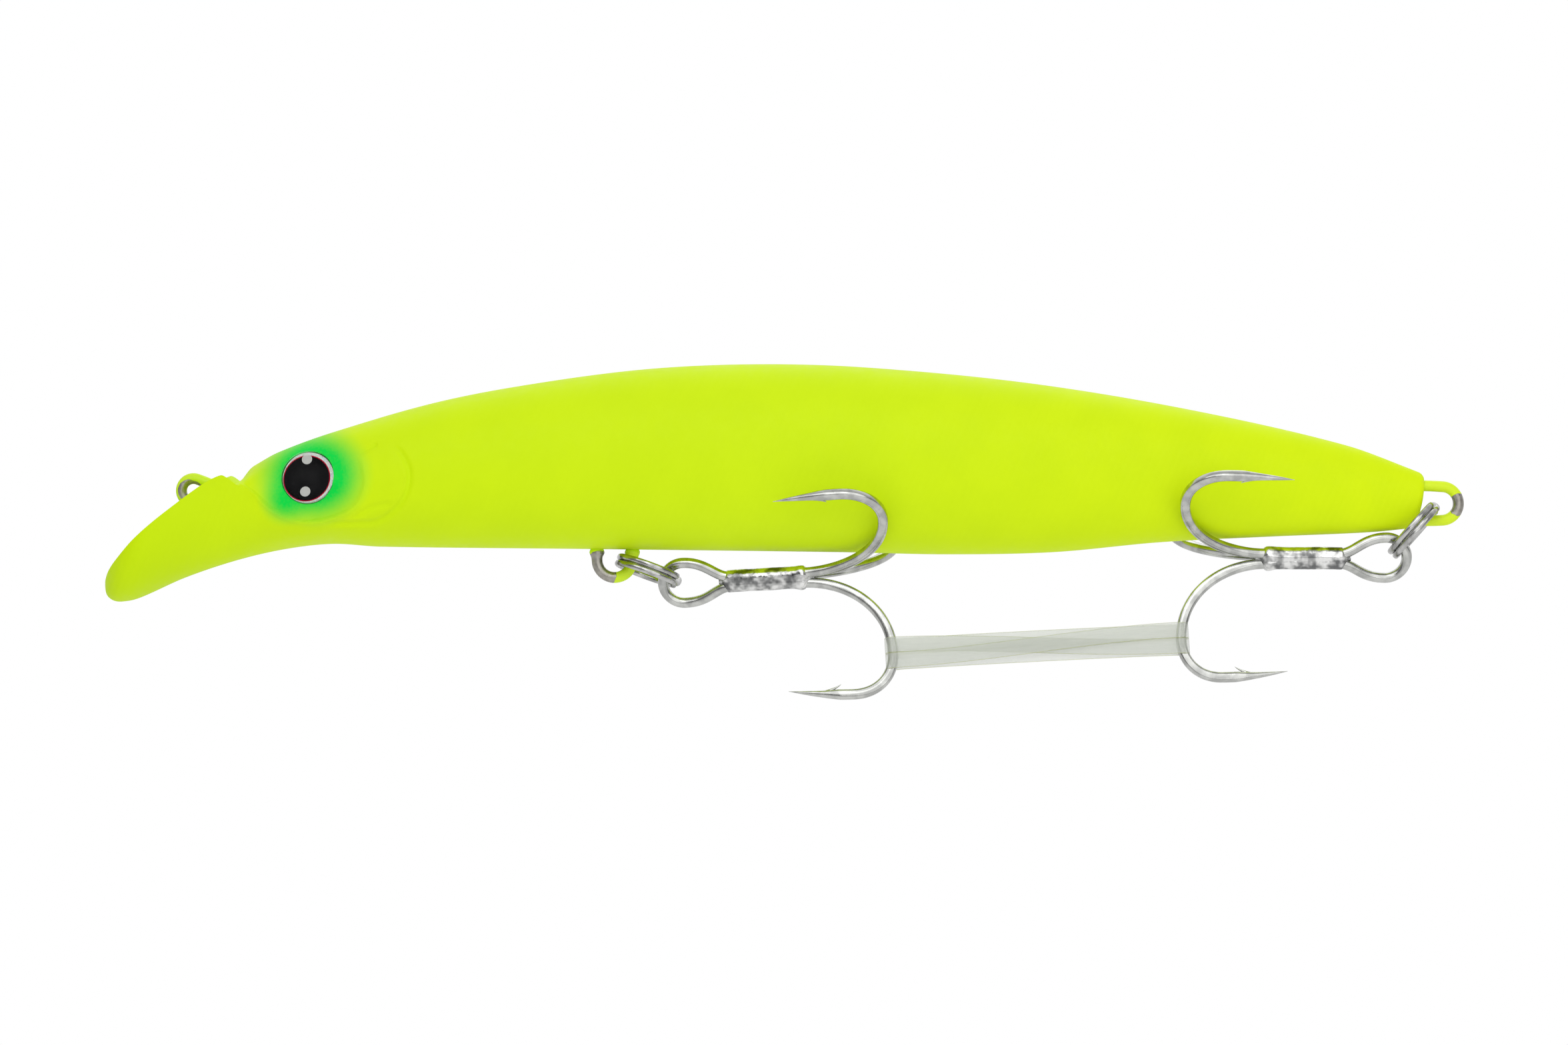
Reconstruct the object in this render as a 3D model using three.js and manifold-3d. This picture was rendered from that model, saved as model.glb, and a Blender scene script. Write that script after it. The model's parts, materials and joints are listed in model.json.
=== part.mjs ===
// A slender minnow-type crankbait. A hollow body of two glued shells carries a moulded-in
// diving lip. One bent wire runs through it and makes the line tie, the belly hanger and the
// tail hanger. Two split rings carry treble hooks, each brazed from a double and a single hook.
// Balls run in a channel for casting, and an elastic band keeps the two trebles together.
// Millimetres, +Z up. The origin is the centre of the line-tie loop, +X points to the tail and
// -Y to the lure's left side.
import * as THREE from "three";
import { mergeVertices } from "three/addons/utils/BufferGeometryUtils.js";
import Module from "manifold-3d";

const wasm = await Module();
wasm.setup();

// ---- driving dimensions ----

// Outlines of the body along X, as [x, value] points.
// Height of the back on the centre plane, and in front of the brow of the dished lip face.
const BACK = [
  [-8, -8.7], [-7, -8.3], [-5, -7.6], [-2, -6], [0.6, -3.9], [2.4, -1.9], [3.6, 0], [4.6, 1.4],
  [5.8, 2.4], [7.8, 3.5], [12.7, 5.3], [22.4, 8.1], [32.1, 9.9], [41.8, 11.1], [51.5, 11.5],
  [61.2, 11.2], [75.8, 9.8], [90.4, 7.4], [104.9, 4.1], [111.9, 1.5],
];
// Height of the keel on the centre plane.
const KEEL = [
  [-8, -9.1], [-7.3, -10], [-6.5, -10.1], [-5, -9.8], [-0.7, -7.9], [4.1, -6.3], [8.5, -5.3],
  [12.7, -4.85], [17, -5.1], [34.6, -5.3], [58.8, -5.6], [68.5, -5.8], [78.2, -5.6],
  [87.9, -4.7], [97.6, -4.2], [108, -3.8], [111.9, -3.5],
];
// Height of the edge line: the rim of the lip, the cheek ridge and then the widest line.
const EDGE = [
  [-8, -8.5], [-7.4, -7.3], [-5, -4.5], [-1.3, -1.4], [1.5, 0.7], [2.6, 1.4], [4.3, 1],
  [5.8, -0.2], [7.6, -1.8], [10.3, -2.7], [14, -1.8], [20, 0.6], [35, 2.4], [51, 2.9],
  [75, 2.2], [95, 1.1], [111.9, -1],
];
// Half width on the edge line, from behind the rounded end of the lip.
const LIP_ROUND_X = -3.5;
const HALF_WIDTH = [
  [LIP_ROUND_X, 6], [0, 5.7], [4.3, 5.2], [7, 5.2], [10.3, 5.5], [15, 6], [25, 6.5],
  [45, 6.75], [60, 6.65], [75, 6], [90, 4.7], [100, 3.5], [108, 2.1], [111.9, 1.5],
];
const NOSE_X = -8;
const TAIL_X = 111.9;
const BROW_FROM_X = 2.8; // between these two the lip face turns into the top of the head
const BROW_TO_X = 5.2;
const WALL = 1.2;
const CAVITY_FROM_X = 14.5;
const CAVITY_TO_X = 107;
const SEAM_GAP = 0.02; // from the centre plane to each shell's glue face
const RIB_THICKNESS = 1;
const RIB_X = [18.85, 32.15, 44.1, 62, 80, 103];

// Through-wire.
const WIRE_R = 0.5;
const WIRE_CLEARANCE = 0.1;
const TIE_LOOP_R = 1.1; // to the wire's centre, as are all bend radii
const WIRE_RUN_Z = -3;
const HANGER_X = 38.3; // centre of the belly hanger's U
const HANGER_Z = -6.3;
const HANGER_R = 1.6;
const TAIL_LOOP_X = 113.5;
const TAIL_LOOP_Z = -1.17;
const TAIL_LOOP_R = 1.53;

// Eyes.
const EYE_X = 10.7;
const EYE_Z = 1.3;
const EYE_R = 2.4;
const EYE_DEPTH = 0.75;
const FOIL_THICKNESS = 0.25;
const LENS_EDGE = 0.35;
const LENS_DOME = 0.7;

// Ballast.
const CHANNEL_Z = 1.2;
const CHANNEL_R = 2.65;
const CHANNEL_WALL = 0.65;
const CHANNEL_FROM_X = 44.6;
const CHANNEL_TO_X = 97.4;
const MAGNET_THICKNESS = 2;
const BALL_R = 2.5;
const BALL_PITCH = 5.1;
const BALL_FIRST_X = 49.4;
const BALL_NAMES = ["front_casting_ball", "middle_casting_ball", "rear_casting_ball"];
const CHIN_WEIGHT_R = 3;
const CHIN_WEIGHT_FROM_X = 19.5;
const CHIN_WEIGHT_LENGTH = 12;
const POCKET_CLEARANCE = 0.15;

// Split rings: two turns of round wire.
const RING_MID_R = 2.86;
const RING_WIRE_R = 0.29;
const RING_PITCH = 0.6;
const FRONT_RING = { x: 41.4, z: -7.3, lean: -20 }; // lean: degrees from +X towards +Z
const TAIL_RING = { x: 111.02, z: -3.55, lean: 48.5 };

// Treble hooks. Along the shank x runs from 0 at the neck of the eye to the bends.
const HOOK_WIRE_R = 0.475;
const SHANK_R = 0.56; // from the treble's axis to each wire's centre
const SHANK_LENGTH = 7.6;
const EYE_LOOP_R = 1.92;
const EYE_LOOP_X = -3.6;
const BEND_X = 15.2;
const BEND_R = 7.5; // from the treble's axis to the wire's furthest point
const GAP_R = 11.05;
const POINT_X = 5.6;
const POINT_R = 10.5;
const TIP_LENGTH = 3.5;
const TIP_R = 0.05;
const BRAZE_FROM_X = 0.4;
const BRAZE_INNER_R = 1.12;
const BRAZE_OUTER_R = 1.22;
// Each treble: neck of its eye, direction of its shank, and the directions of its hooks, in
// degrees from +Z towards the lure's left side.
const TREBLE_Y = -0.3; // at the neck
// Yaw turns a treble's bends towards the lure's left side.
const FRONT_TREBLE = {
  name: "front_treble", x: 48.2, z: -8.2, along: 1, rise: 3, roll: 49, yaw: 5,
};
const REAR_TREBLE = {
  name: "rear_treble", x: 104.8, z: -6.1, along: -1, rise: 0, roll: 48, yaw: 2,
};

// Elastic band round the two lower hooks.
const BAND_WIDTH = 2.8;
const BAND_THICKNESS = 0.25;
const BAND_INNER_R = 0.9;

// ---- materials ----

const material = (color, roughness, metalness, more = {}) =>
  new THREE.MeshStandardMaterial({ color, roughness, metalness, ...more });

const paint = () => material(0xd1f122, 0.6, 0);
const stainless = () => material(0xb9b9b3, 0.3, 1);
const tinned = () => material(0xd4d6d8, 0.25, 1);
const tungsten = () => material(0x8a8c8f, 0.35, 1);

// ---- shared helpers ----

// Returns a smooth function through [x, value] points, with Catmull-Rom slopes.
function profile(points) {
  const last = points.length - 1;
  const slope = (i) => {
    const [xa, ya] = points[Math.max(i - 1, 0)];
    const [xb, yb] = points[Math.min(i + 1, last)];
    return (yb - ya) / (xb - xa);
  };
  return (x) => {
    if (x <= points[0][0]) return points[0][1];
    if (x >= points[last][0]) return points[last][1];
    const i = points.findIndex((p) => p[0] > x) - 1;
    const [x0, y0] = points[i];
    const [x1, y1] = points[i + 1];
    const step = x1 - x0;
    const t = (x - x0) / step;
    return (
      (1 + 2 * t) * (1 - t) ** 2 * y0 +
      t * (1 - t) ** 2 * step * slope(i) +
      t ** 2 * (3 - 2 * t) * y1 +
      t ** 2 * (t - 1) * step * slope(i + 1)
    );
  };
}

// Evenly spaced numbers, both ends included.
const spaced = (from, to, count) =>
  Array.from({ length: count }, (_, i) => from + ((to - from) * i) / (count - 1));

// A closed geometry from rings of the same number of points, with flat fans at both ends.
function loft(rings) {
  const count = rings[0].length;
  const faces = [];
  for (let i = 0; i + 1 < rings.length; i++) {
    for (let k = 0; k < count; k++) {
      const a = i * count + k;
      const b = i * count + ((k + 1) % count);
      faces.push(a, b, a + count, b, b + count, a + count);
    }
  }
  const end = (rings.length - 1) * count;
  for (let k = 1; k + 1 < count; k++) {
    faces.push(0, k + 1, k, end, end + k, end + k + 1);
  }
  const geometry = new THREE.BufferGeometry().setFromPoints(rings.flat());
  geometry.setIndex(faces);
  geometry.computeVertexNormals();
  return geometry;
}

// A closed round wire through points; radius is a number, or a function of the point's index.
function sweep(points, radius, sides = 8) {
  const radiusAt = typeof radius === "function" ? radius : () => radius;
  const turn = new THREE.Quaternion();
  const normal = new THREE.Vector3();
  let before = null;
  const rings = points.map((point, i) => {
    const ahead = points[Math.min(i + 1, points.length - 1)];
    const behind = points[Math.max(i - 1, 0)];
    const tangent = ahead.clone().sub(behind).normalize();
    if (before) {
      normal.applyQuaternion(turn.setFromUnitVectors(before, tangent));
    } else {
      const other = Math.abs(tangent.y) > 0.5 ? [1, 0, 0] : [0, 1, 0];
      normal.set(...other).cross(tangent).normalize();
    }
    before = tangent;
    const across = tangent.clone().cross(normal);
    return spaced(0, 2 * Math.PI, sides + 1).slice(0, sides).map((angle) =>
      point.clone()
        .addScaledVector(normal, Math.cos(angle) * radiusAt(i))
        .addScaledVector(across, Math.sin(angle) * radiusAt(i)));
  });
  return loft(rings);
}

// A closed mesh geometry as a solid that can be cut and joined.
function solid(geometry) {
  const bare = geometry.clone();
  bare.deleteAttribute("normal");
  bare.deleteAttribute("uv");
  const merged = mergeVertices(bare, 1e-4);
  return new wasm.Manifold(new wasm.Mesh({
    numProp: 3,
    vertProperties: new Float32Array(merged.attributes.position.array),
    triVerts: new Uint32Array(merged.index.array),
  }));
}

function geometryOf(made) {
  const { numProp, vertProperties, triVerts } = made.getMesh();
  const geometry = new THREE.BufferGeometry();
  geometry.setAttribute("position", new THREE.BufferAttribute(vertProperties, numProp));
  geometry.setIndex(new THREE.BufferAttribute(triVerts, 1));
  geometry.computeVertexNormals();
  return geometry;
}

// A cylinder along X between two places.
function barAlongX(radius, fromX, toX, z, sides = 20) {
  const bar = new THREE.CylinderGeometry(radius, radius, toX - fromX, sides);
  bar.rotateZ(-Math.PI / 2);
  bar.translate((fromX + toX) / 2, 0, z);
  return bar;
}

const group = new THREE.Group();

function place(name, geometry, look, parent = group) {
  const mesh = new THREE.Mesh(geometry, look);
  mesh.name = name;
  parent.add(mesh);
  return mesh;
}

// ---- body surface ----

const backAt = profile(BACK);
const keelAt = profile(KEEL);
const edgeAt = profile(EDGE);
const widthAt = profile(HALF_WIDTH);

// The lip is rounded in plan in front of its widest place.
function halfWidthAt(x) {
  if (x >= LIP_ROUND_X) return widthAt(x);
  const share = (LIP_ROUND_X - x) / (LIP_ROUND_X - NOSE_X);
  return widthAt(LIP_ROUND_X) * Math.sqrt(Math.max(1 - share ** 2, 0));
}

// Squareness of the upper half of a section: the head has flatter cheeks than the body.
const squareness = profile([[5, 2.3], [10, 2.8], [16, 2.4], [26, 2.1], [50, 2]]);
const LOWER_STEPS = 6;
const UPPER_STEPS = 7;

// One half section at x, as [y, z] pairs from the keel round the edge line to the top.
function halfSection(x, inset) {
  const width = halfWidthAt(x) - inset;
  const edge = edgeAt(x);
  const drop = edge - keelAt(x) - inset;
  const rise = backAt(x) - inset - edge;
  const power = 2 / squareness(x);
  const crowned = THREE.MathUtils.smoothstep(x, BROW_FROM_X, BROW_TO_X);
  const lower = spaced(0, Math.PI / 2, LOWER_STEPS + 1).map((angle) =>
    [width * Math.sin(angle), edge - drop * Math.cos(angle)]);
  const upper = spaced(0, 1, UPPER_STEPS + 1).slice(1).map((share) => {
    const angle = (share * Math.PI) / 2;
    const crown = [
      width * Math.max(Math.cos(angle), 0) ** power,
      edge + rise * Math.sin(angle) ** power,
    ];
    const dish = [width * (1 - share), edge + rise * THREE.MathUtils.smoothstep(share, 0, 1)];
    return crown.map((value, i) => THREE.MathUtils.lerp(dish[i], value, crowned));
  });
  return [...lower, ...upper];
}

// The closed body between the given stations, set in from the outside by inset.
function bodySolid(stations, inset = 0) {
  return solid(loft(stations.map((x) => {
    const half = halfSection(x, inset);
    const otherHalf = half.slice(1, -1).reverse().map(([y, z]) => [-y, z]);
    return [...half, ...otherHalf].map(([y, z]) => new THREE.Vector3(x, y, z));
  })));
}

// Half width of the upper body at a height.
function flankAt(x, z) {
  const edge = edgeAt(x);
  const up = ((z - edge) / (backAt(x) - edge)) ** (squareness(x) / 2);
  return halfWidthAt(x) * Math.sqrt(1 - up ** 2) ** (2 / squareness(x));
}

// ---- through-wire ----

const inPlane = (x, z) => new THREE.Vector3(x, 0, z);

// Points of an arc in the centre plane, angles in degrees from +X towards +Z.
function arc(x, z, radius, fromDeg, toDeg, count) {
  return spaced(fromDeg, toDeg, count).map((degrees) => {
    const angle = THREE.MathUtils.degToRad(degrees);
    return inPlane(x + radius * Math.cos(angle), z + radius * Math.sin(angle));
  });
}

const HANGER_FOOT_R = 1.2; // bend between the run and each leg of the hanger
const footZ = WIRE_RUN_Z - HANGER_FOOT_R;
const wirePath = [
  inPlane(7, -1.3),
  inPlane(4.5, -0.65),
  inPlane(1.9, 0.45),
  ...arc(0, 0, TIE_LOOP_R, 65, 270, 11),
  inPlane(1, -1.2),
  inPlane(5, -2.3),
  inPlane(8, -2.9),
  inPlane(11, WIRE_RUN_Z),
  ...arc(HANGER_X - HANGER_R - HANGER_FOOT_R, footZ, HANGER_FOOT_R, 90, 0, 5),
  ...arc(HANGER_X, HANGER_Z, HANGER_R, 180, 360, 11),
  ...arc(HANGER_X + HANGER_R + HANGER_FOOT_R, footZ, HANGER_FOOT_R, 180, 90, 5),
  inPlane(104, WIRE_RUN_Z),
  inPlane(110, TAIL_LOOP_Z - TAIL_LOOP_R),
  ...arc(TAIL_LOOP_X, TAIL_LOOP_Z, TAIL_LOOP_R, -90, 90, 11),
  inPlane(106, TAIL_LOOP_Z + TAIL_LOOP_R),
];

place("through_wire", sweep(wirePath, WIRE_R), stainless());

// ---- eyes ----

const SIDES = [{ name: "left", y: -1 }, { name: "right", y: 1 }];

// Places a group on the flank, its +Y axis along the outward normal of the surface.
function eyeFrame(side) {
  const reach = 0.5;
  const slopeX = (flankAt(EYE_X + reach, EYE_Z) - flankAt(EYE_X - reach, EYE_Z)) / (2 * reach);
  const slopeZ = (flankAt(EYE_X, EYE_Z + reach) - flankAt(EYE_X, EYE_Z - reach)) / (2 * reach);
  const outward = new THREE.Vector3(-slopeX, side.y, -slopeZ).normalize();
  const frame = new THREE.Group();
  frame.position.set(EYE_X, side.y * flankAt(EYE_X, EYE_Z), EYE_Z);
  frame.quaternion.setFromUnitVectors(new THREE.Vector3(0, 1, 0), outward);
  frame.updateMatrixWorld();
  return frame;
}

function eyeLens() {
  const bulge = (EYE_R ** 2 + LENS_DOME ** 2) / (2 * LENS_DOME); // radius of the dome's sphere
  const half = Math.asin(EYE_R / bulge);
  const dome = spaced(half, 0, 6).map((angle) => new THREE.Vector2(
    bulge * Math.sin(angle),
    LENS_EDGE + LENS_DOME - bulge * (1 - Math.cos(angle)),
  ));
  dome[dome.length - 1].x = 0;
  return new THREE.LatheGeometry([
    new THREE.Vector2(0, 0),
    new THREE.Vector2(EYE_R, 0),
    ...dome,
  ], 24);
}

const eyeSockets = [];
for (const side of SIDES) {
  const frame = eyeFrame(side);
  const foil = new THREE.CylinderGeometry(EYE_R, EYE_R, FOIL_THICKNESS, 24);
  foil.translate(0, -EYE_DEPTH + FOIL_THICKNESS / 2, 0);
  place(side.name + "_eye_foil", foil, material(0xc0392b, 0.3, 0.4), frame);
  const lens = eyeLens();
  lens.translate(0, -EYE_DEPTH + FOIL_THICKNESS + 0.02, 0);
  place(side.name + "_eye_lens", lens,
    material(0xffffff, 0.05, 0, { transparent: true, opacity: 0.35 }), frame);
  group.add(frame);
  const socket = new THREE.CylinderGeometry(EYE_R + 0.1, EYE_R + 0.1, 4, 24);
  socket.translate(0, 2 - EYE_DEPTH - 0.03, 0);
  socket.applyMatrix4(frame.matrixWorld);
  eyeSockets.push(solid(socket));
}

// ---- shells ----

function shells() {
  const stations = [...spaced(-7.9, 5.5, 15), ...spaced(6.5, 20, 9), ...spaced(25, TAIL_X, 15)];
  const outer = bodySolid(stations);
  const cavity = bodySolid(spaced(CAVITY_FROM_X, CAVITY_TO_X, 18), WALL);
  let body = outer.subtract(cavity);
  for (const x of RIB_X) {
    const rib = new THREE.BoxGeometry(RIB_THICKNESS, 30, 30);
    rib.translate(x, 0, 0);
    body = body.add(solid(rib).intersect(outer));
  }
  // The ball channel and the chin weight's pocket are tubes inside, closed at both ends.
  const tubes = [
    [CHANNEL_FROM_X, CHANNEL_TO_X, CHANNEL_Z, CHANNEL_R],
    [
      CHIN_WEIGHT_FROM_X - POCKET_CLEARANCE,
      CHIN_WEIGHT_FROM_X + CHIN_WEIGHT_LENGTH + POCKET_CLEARANCE,
      CHANNEL_Z,
      CHIN_WEIGHT_R + POCKET_CLEARANCE,
    ],
  ];
  for (const [fromX, toX, z, radius] of tubes) {
    const casing = barAlongX(radius + CHANNEL_WALL, fromX - 1, toX + 1, z);
    body = body.add(solid(casing).intersect(outer));
  }
  for (const [fromX, toX, z, radius] of tubes) {
    body = body.subtract(solid(barAlongX(radius, fromX, toX, z)));
  }
  body = body.subtract(solid(sweep(wirePath, WIRE_R + WIRE_CLEARANCE)));
  for (const socket of eyeSockets) body = body.subtract(socket);
  for (const side of SIDES) {
    const half = new THREE.BoxGeometry(200, 20, 60);
    half.translate(50, side.y * (10 + SEAM_GAP), 0);
    place(side.name + "_shell", geometryOf(body.intersect(solid(half))), paint());
  }
}
shells();

// ---- ballast ----

place("chin_weight",
  barAlongX(CHIN_WEIGHT_R, CHIN_WEIGHT_FROM_X, CHIN_WEIGHT_FROM_X + CHIN_WEIGHT_LENGTH, CHANNEL_Z),
  tungsten());

place("weight_magnet",
  barAlongX(BALL_R, CHANNEL_FROM_X + 0.05, CHANNEL_FROM_X + MAGNET_THICKNESS, CHANNEL_Z),
  material(0x6d6f72, 0.3, 1));

BALL_NAMES.forEach((name, i) => {
  const ball = place(name, new THREE.SphereGeometry(BALL_R, 14, 9), tungsten());
  ball.position.set(BALL_FIRST_X + i * BALL_PITCH, 0, CHANNEL_Z);
});

// ---- split rings ----

function splitRing(name, ring) {
  const lean = THREE.MathUtils.degToRad(ring.lean);
  const along = new THREE.Vector3(Math.cos(lean), 0, Math.sin(lean));
  const across = new THREE.Vector3(0, 1, 0);
  const axis = new THREE.Vector3().crossVectors(along, across);
  const TURNS = 2;
  const points = spaced(0, TURNS * 2 * Math.PI - 0.1, 41).map((angle) =>
    new THREE.Vector3(ring.x, 0, ring.z)
      .addScaledVector(along, RING_MID_R * Math.cos(angle))
      .addScaledVector(across, RING_MID_R * Math.sin(angle))
      .addScaledVector(axis, RING_PITCH * (angle / (2 * Math.PI) - TURNS / 2)));
  place(name, sweep(points, RING_WIRE_R), stainless());
}
splitRing("front_split_ring", FRONT_RING);
splitRing("tail_split_ring", TAIL_RING);

// ---- treble hooks ----

// One hook from the shank to its point, as THREE.Vector2(distance along, distance from axis).
function hookOutline() {
  const v = (x, r) => new THREE.Vector2(x, r);
  const opening = new THREE.CubicBezierCurve(
    v(SHANK_LENGTH, SHANK_R), v(11.6, 0.7), v(BEND_X - 0.05, 3.4), v(BEND_X, BEND_R));
  const bend = new THREE.CubicBezierCurve(
    v(BEND_X, BEND_R), v(BEND_X, 9.5), v(13.8, GAP_R), v(11.6, GAP_R));
  const spear = new THREE.CubicBezierCurve(
    v(11.6, GAP_R), v(9.8, GAP_R), v(7.6, 10.8), v(POINT_X, POINT_R));
  return [
    v(0.6, SHANK_R),
    ...opening.getPoints(6),
    ...bend.getPoints(6).slice(1),
    ...spear.getPoints(5).slice(1),
  ];
}

// Half of the eye, from its far end back to the shank, as (distance along, distance sideways).
function eyeOutline(sideways) {
  const round = spaced(0, Math.PI / 2, 6).map((angle) => new THREE.Vector2(
    EYE_LOOP_X - EYE_LOOP_R * Math.cos(angle),
    EYE_LOOP_R * Math.sin(angle),
  ));
  const neck = new THREE.CubicBezierCurve(
    round[5],
    new THREE.Vector2(-1.4, EYE_LOOP_R),
    new THREE.Vector2(-0.7, sideways),
    new THREE.Vector2(0.6, sideways),
  );
  return [...round, ...neck.getPoints(5).slice(1, -1)];
}

// Makes one treble's three nodes, and returns where its lower hook holds the band.
function treble({ name, x, z, along, rise, roll, yaw }) {
  const tilt = THREE.MathUtils.degToRad(rise);
  const turn = THREE.MathUtils.degToRad(yaw);
  const axis = new THREE.Vector3(
    along * Math.cos(tilt) * Math.cos(turn), -Math.sin(turn), Math.sin(tilt)).normalize();
  const neck = new THREE.Vector3(x, TREBLE_Y, z);
  const upright = new THREE.Vector3(0, 0, 1).projectOnPlane(axis).normalize();
  const level = new THREE.Vector3().crossVectors(axis, upright).multiplyScalar(along);
  const outward = (degrees) => {
    const angle = THREE.MathUtils.degToRad(degrees);
    return upright.clone().multiplyScalar(Math.cos(angle))
      .addScaledVector(level, Math.sin(angle));
  };
  const at = (distance, direction, radius) =>
    neck.clone().addScaledVector(axis, distance).addScaledVector(direction, radius);
  const hook = (degrees) =>
    hookOutline().map(({ x: distance, y: radius }) => at(distance, outward(degrees), radius));
  // The wire tapers to each point over the last stretch.
  const wireRadius = (points, tips) => (i) => {
    const near = Math.min(...tips.map((tip) => points[i].distanceTo(tip)));
    return Math.max(TIP_R, HOOK_WIRE_R * Math.min(1, near / TIP_LENGTH));
  };

  // The double hook: point, bend, shank, eye, shank, bend and point in one wire.
  const middle = roll + 60; // halfway between its two hooks
  const sideways = SHANK_R * Math.sin(Math.PI / 3);
  const offset = SHANK_R * Math.cos(Math.PI / 3);
  const eyeHalf = (sign) => eyeOutline(sideways).map(({ x: distance, y: side }) => {
    const share = THREE.MathUtils.smoothstep(distance, EYE_LOOP_X, 0.6);
    return at(distance, outward(middle), offset * share)
      .addScaledVector(outward(middle + 90), sign * side);
  });
  const double = [
    ...hook(roll).reverse(),
    ...eyeHalf(-1).reverse(),
    ...eyeHalf(1).slice(1),
    ...hook(roll + 120),
  ];
  const bothTips = [double[0], double[double.length - 1]];
  place(name + "_double_hook", sweep(double, wireRadius(double, bothTips)), tinned());

  const single = hook(roll + 240);
  place(name + "_single_hook", sweep(single, wireRadius(single, single.slice(-1))), tinned());

  // Solder coats the three wires along the shank.
  const sleeve = new THREE.LatheGeometry([
    new THREE.Vector2(BRAZE_INNER_R, BRAZE_FROM_X),
    new THREE.Vector2(BRAZE_OUTER_R, BRAZE_FROM_X),
    new THREE.Vector2(BRAZE_OUTER_R, SHANK_LENGTH),
    new THREE.Vector2(BRAZE_INNER_R, SHANK_LENGTH),
    new THREE.Vector2(BRAZE_INNER_R, BRAZE_FROM_X),
  ], 14);
  const braze = place(name + "_braze", sleeve, tinned());
  braze.position.copy(neck);
  braze.quaternion.setFromUnitVectors(new THREE.Vector3(0, 1, 0), axis);

  // Where the lower hook's bend holds the band, and the wire's direction there.
  return { hold: at(BEND_X, outward(roll + 120), BEND_R), direction: outward(roll + 120) };
}

const frontHold = treble(FRONT_TREBLE);
const rearHold = treble(REAR_TREBLE);

// ---- hook band ----

// A flat closed loop round both holds, its width along the hook wires.
function hookBand(from, to) {
  const span = to.hold.clone().sub(from.hold);
  const half = span.length() / 2;
  const loopAt = (radius) => {
    const loop = new THREE.Shape();
    loop.absarc(half, 0, radius, -Math.PI / 2, Math.PI / 2, false);
    loop.absarc(-half, 0, radius, Math.PI / 2, (3 * Math.PI) / 2, false);
    loop.closePath();
    return loop;
  };
  const shape = loopAt(BAND_INNER_R + BAND_THICKNESS);
  shape.holes.push(loopAt(BAND_INNER_R));
  const band = new THREE.ExtrudeGeometry(shape, {
    depth: BAND_WIDTH,
    bevelEnabled: false,
    curveSegments: 8,
  });
  band.translate(0, 0, -BAND_WIDTH / 2);
  const lengthwise = span.clone().normalize();
  const upwards = from.direction.clone().add(to.direction).normalize().negate();
  const outwards = new THREE.Vector3().crossVectors(upwards, lengthwise).normalize();
  upwards.crossVectors(lengthwise, outwards);
  const mesh = place("hook_band", band,
    material(0xe6ebdf, 0.35, 0, { transparent: true, opacity: 0.6 }));
  mesh.quaternion.setFromRotationMatrix(
    new THREE.Matrix4().makeBasis(lengthwise, outwards, upwards));
  mesh.position.copy(from.hold).add(to.hold).multiplyScalar(0.5);
}
hookBand(frontHold, rearHold);

export default group;
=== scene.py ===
import json
import math

import bpy
import numpy as np
from mathutils import Matrix, Vector

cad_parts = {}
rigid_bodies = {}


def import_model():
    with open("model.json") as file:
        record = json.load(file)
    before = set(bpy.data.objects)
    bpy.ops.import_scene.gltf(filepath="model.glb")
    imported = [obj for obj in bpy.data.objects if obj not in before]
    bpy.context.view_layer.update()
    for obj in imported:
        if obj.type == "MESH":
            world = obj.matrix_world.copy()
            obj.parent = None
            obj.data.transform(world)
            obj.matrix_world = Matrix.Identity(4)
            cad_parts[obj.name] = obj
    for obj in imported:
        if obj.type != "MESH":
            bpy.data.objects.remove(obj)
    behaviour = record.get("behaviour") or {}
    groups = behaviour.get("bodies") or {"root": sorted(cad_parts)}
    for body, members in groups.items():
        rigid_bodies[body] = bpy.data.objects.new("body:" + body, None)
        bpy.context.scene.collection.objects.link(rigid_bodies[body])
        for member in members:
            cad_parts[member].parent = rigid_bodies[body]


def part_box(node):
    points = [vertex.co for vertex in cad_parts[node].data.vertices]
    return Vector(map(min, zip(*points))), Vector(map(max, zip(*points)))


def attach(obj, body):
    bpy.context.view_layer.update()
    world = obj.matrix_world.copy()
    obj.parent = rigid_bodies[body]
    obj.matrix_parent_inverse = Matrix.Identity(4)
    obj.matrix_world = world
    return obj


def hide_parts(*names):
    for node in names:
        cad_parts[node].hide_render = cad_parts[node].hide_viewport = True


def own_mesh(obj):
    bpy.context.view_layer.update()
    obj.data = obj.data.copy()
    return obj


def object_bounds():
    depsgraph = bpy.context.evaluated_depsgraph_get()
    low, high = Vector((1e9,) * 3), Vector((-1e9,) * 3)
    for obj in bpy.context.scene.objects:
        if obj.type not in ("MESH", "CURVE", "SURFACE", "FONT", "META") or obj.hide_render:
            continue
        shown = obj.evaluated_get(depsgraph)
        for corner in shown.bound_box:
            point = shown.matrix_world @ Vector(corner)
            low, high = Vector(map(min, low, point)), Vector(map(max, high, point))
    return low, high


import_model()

cad_low, cad_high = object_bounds()
MM = 0.001

# ---- the frame's own places, in millimetres ----


def cad_box(node):
    """Lowest and highest corner of a CAD node."""
    return [np.array(corner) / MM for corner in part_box(node)]


def cad_centre(node):
    low, high = cad_box(node)
    return (low + high) / 2


# ---- body outlines, as [x, value] points ----

# Height of the back on the centre plane, and in front of the brow of the dished lip face.
BACK = [
    [-8, -8.75], [-7, -8.4], [-5, -7.6], [-2, -6], [0.6, -3.9], [2.4, -1.9], [3.6, -0.2], [4.35, 0.8],
    [5.2, 1.95], [5.8, 2.4], [7.8, 3.5], [12.7, 5.3], [22.4, 8.1], [32.1, 9.9], [41.8, 11.1], [51.5, 11.5],
    [61.2, 11.2], [75.8, 9.8], [90.4, 7.4], [104.9, 4.1], [111.9, 1.5],
]
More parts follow.
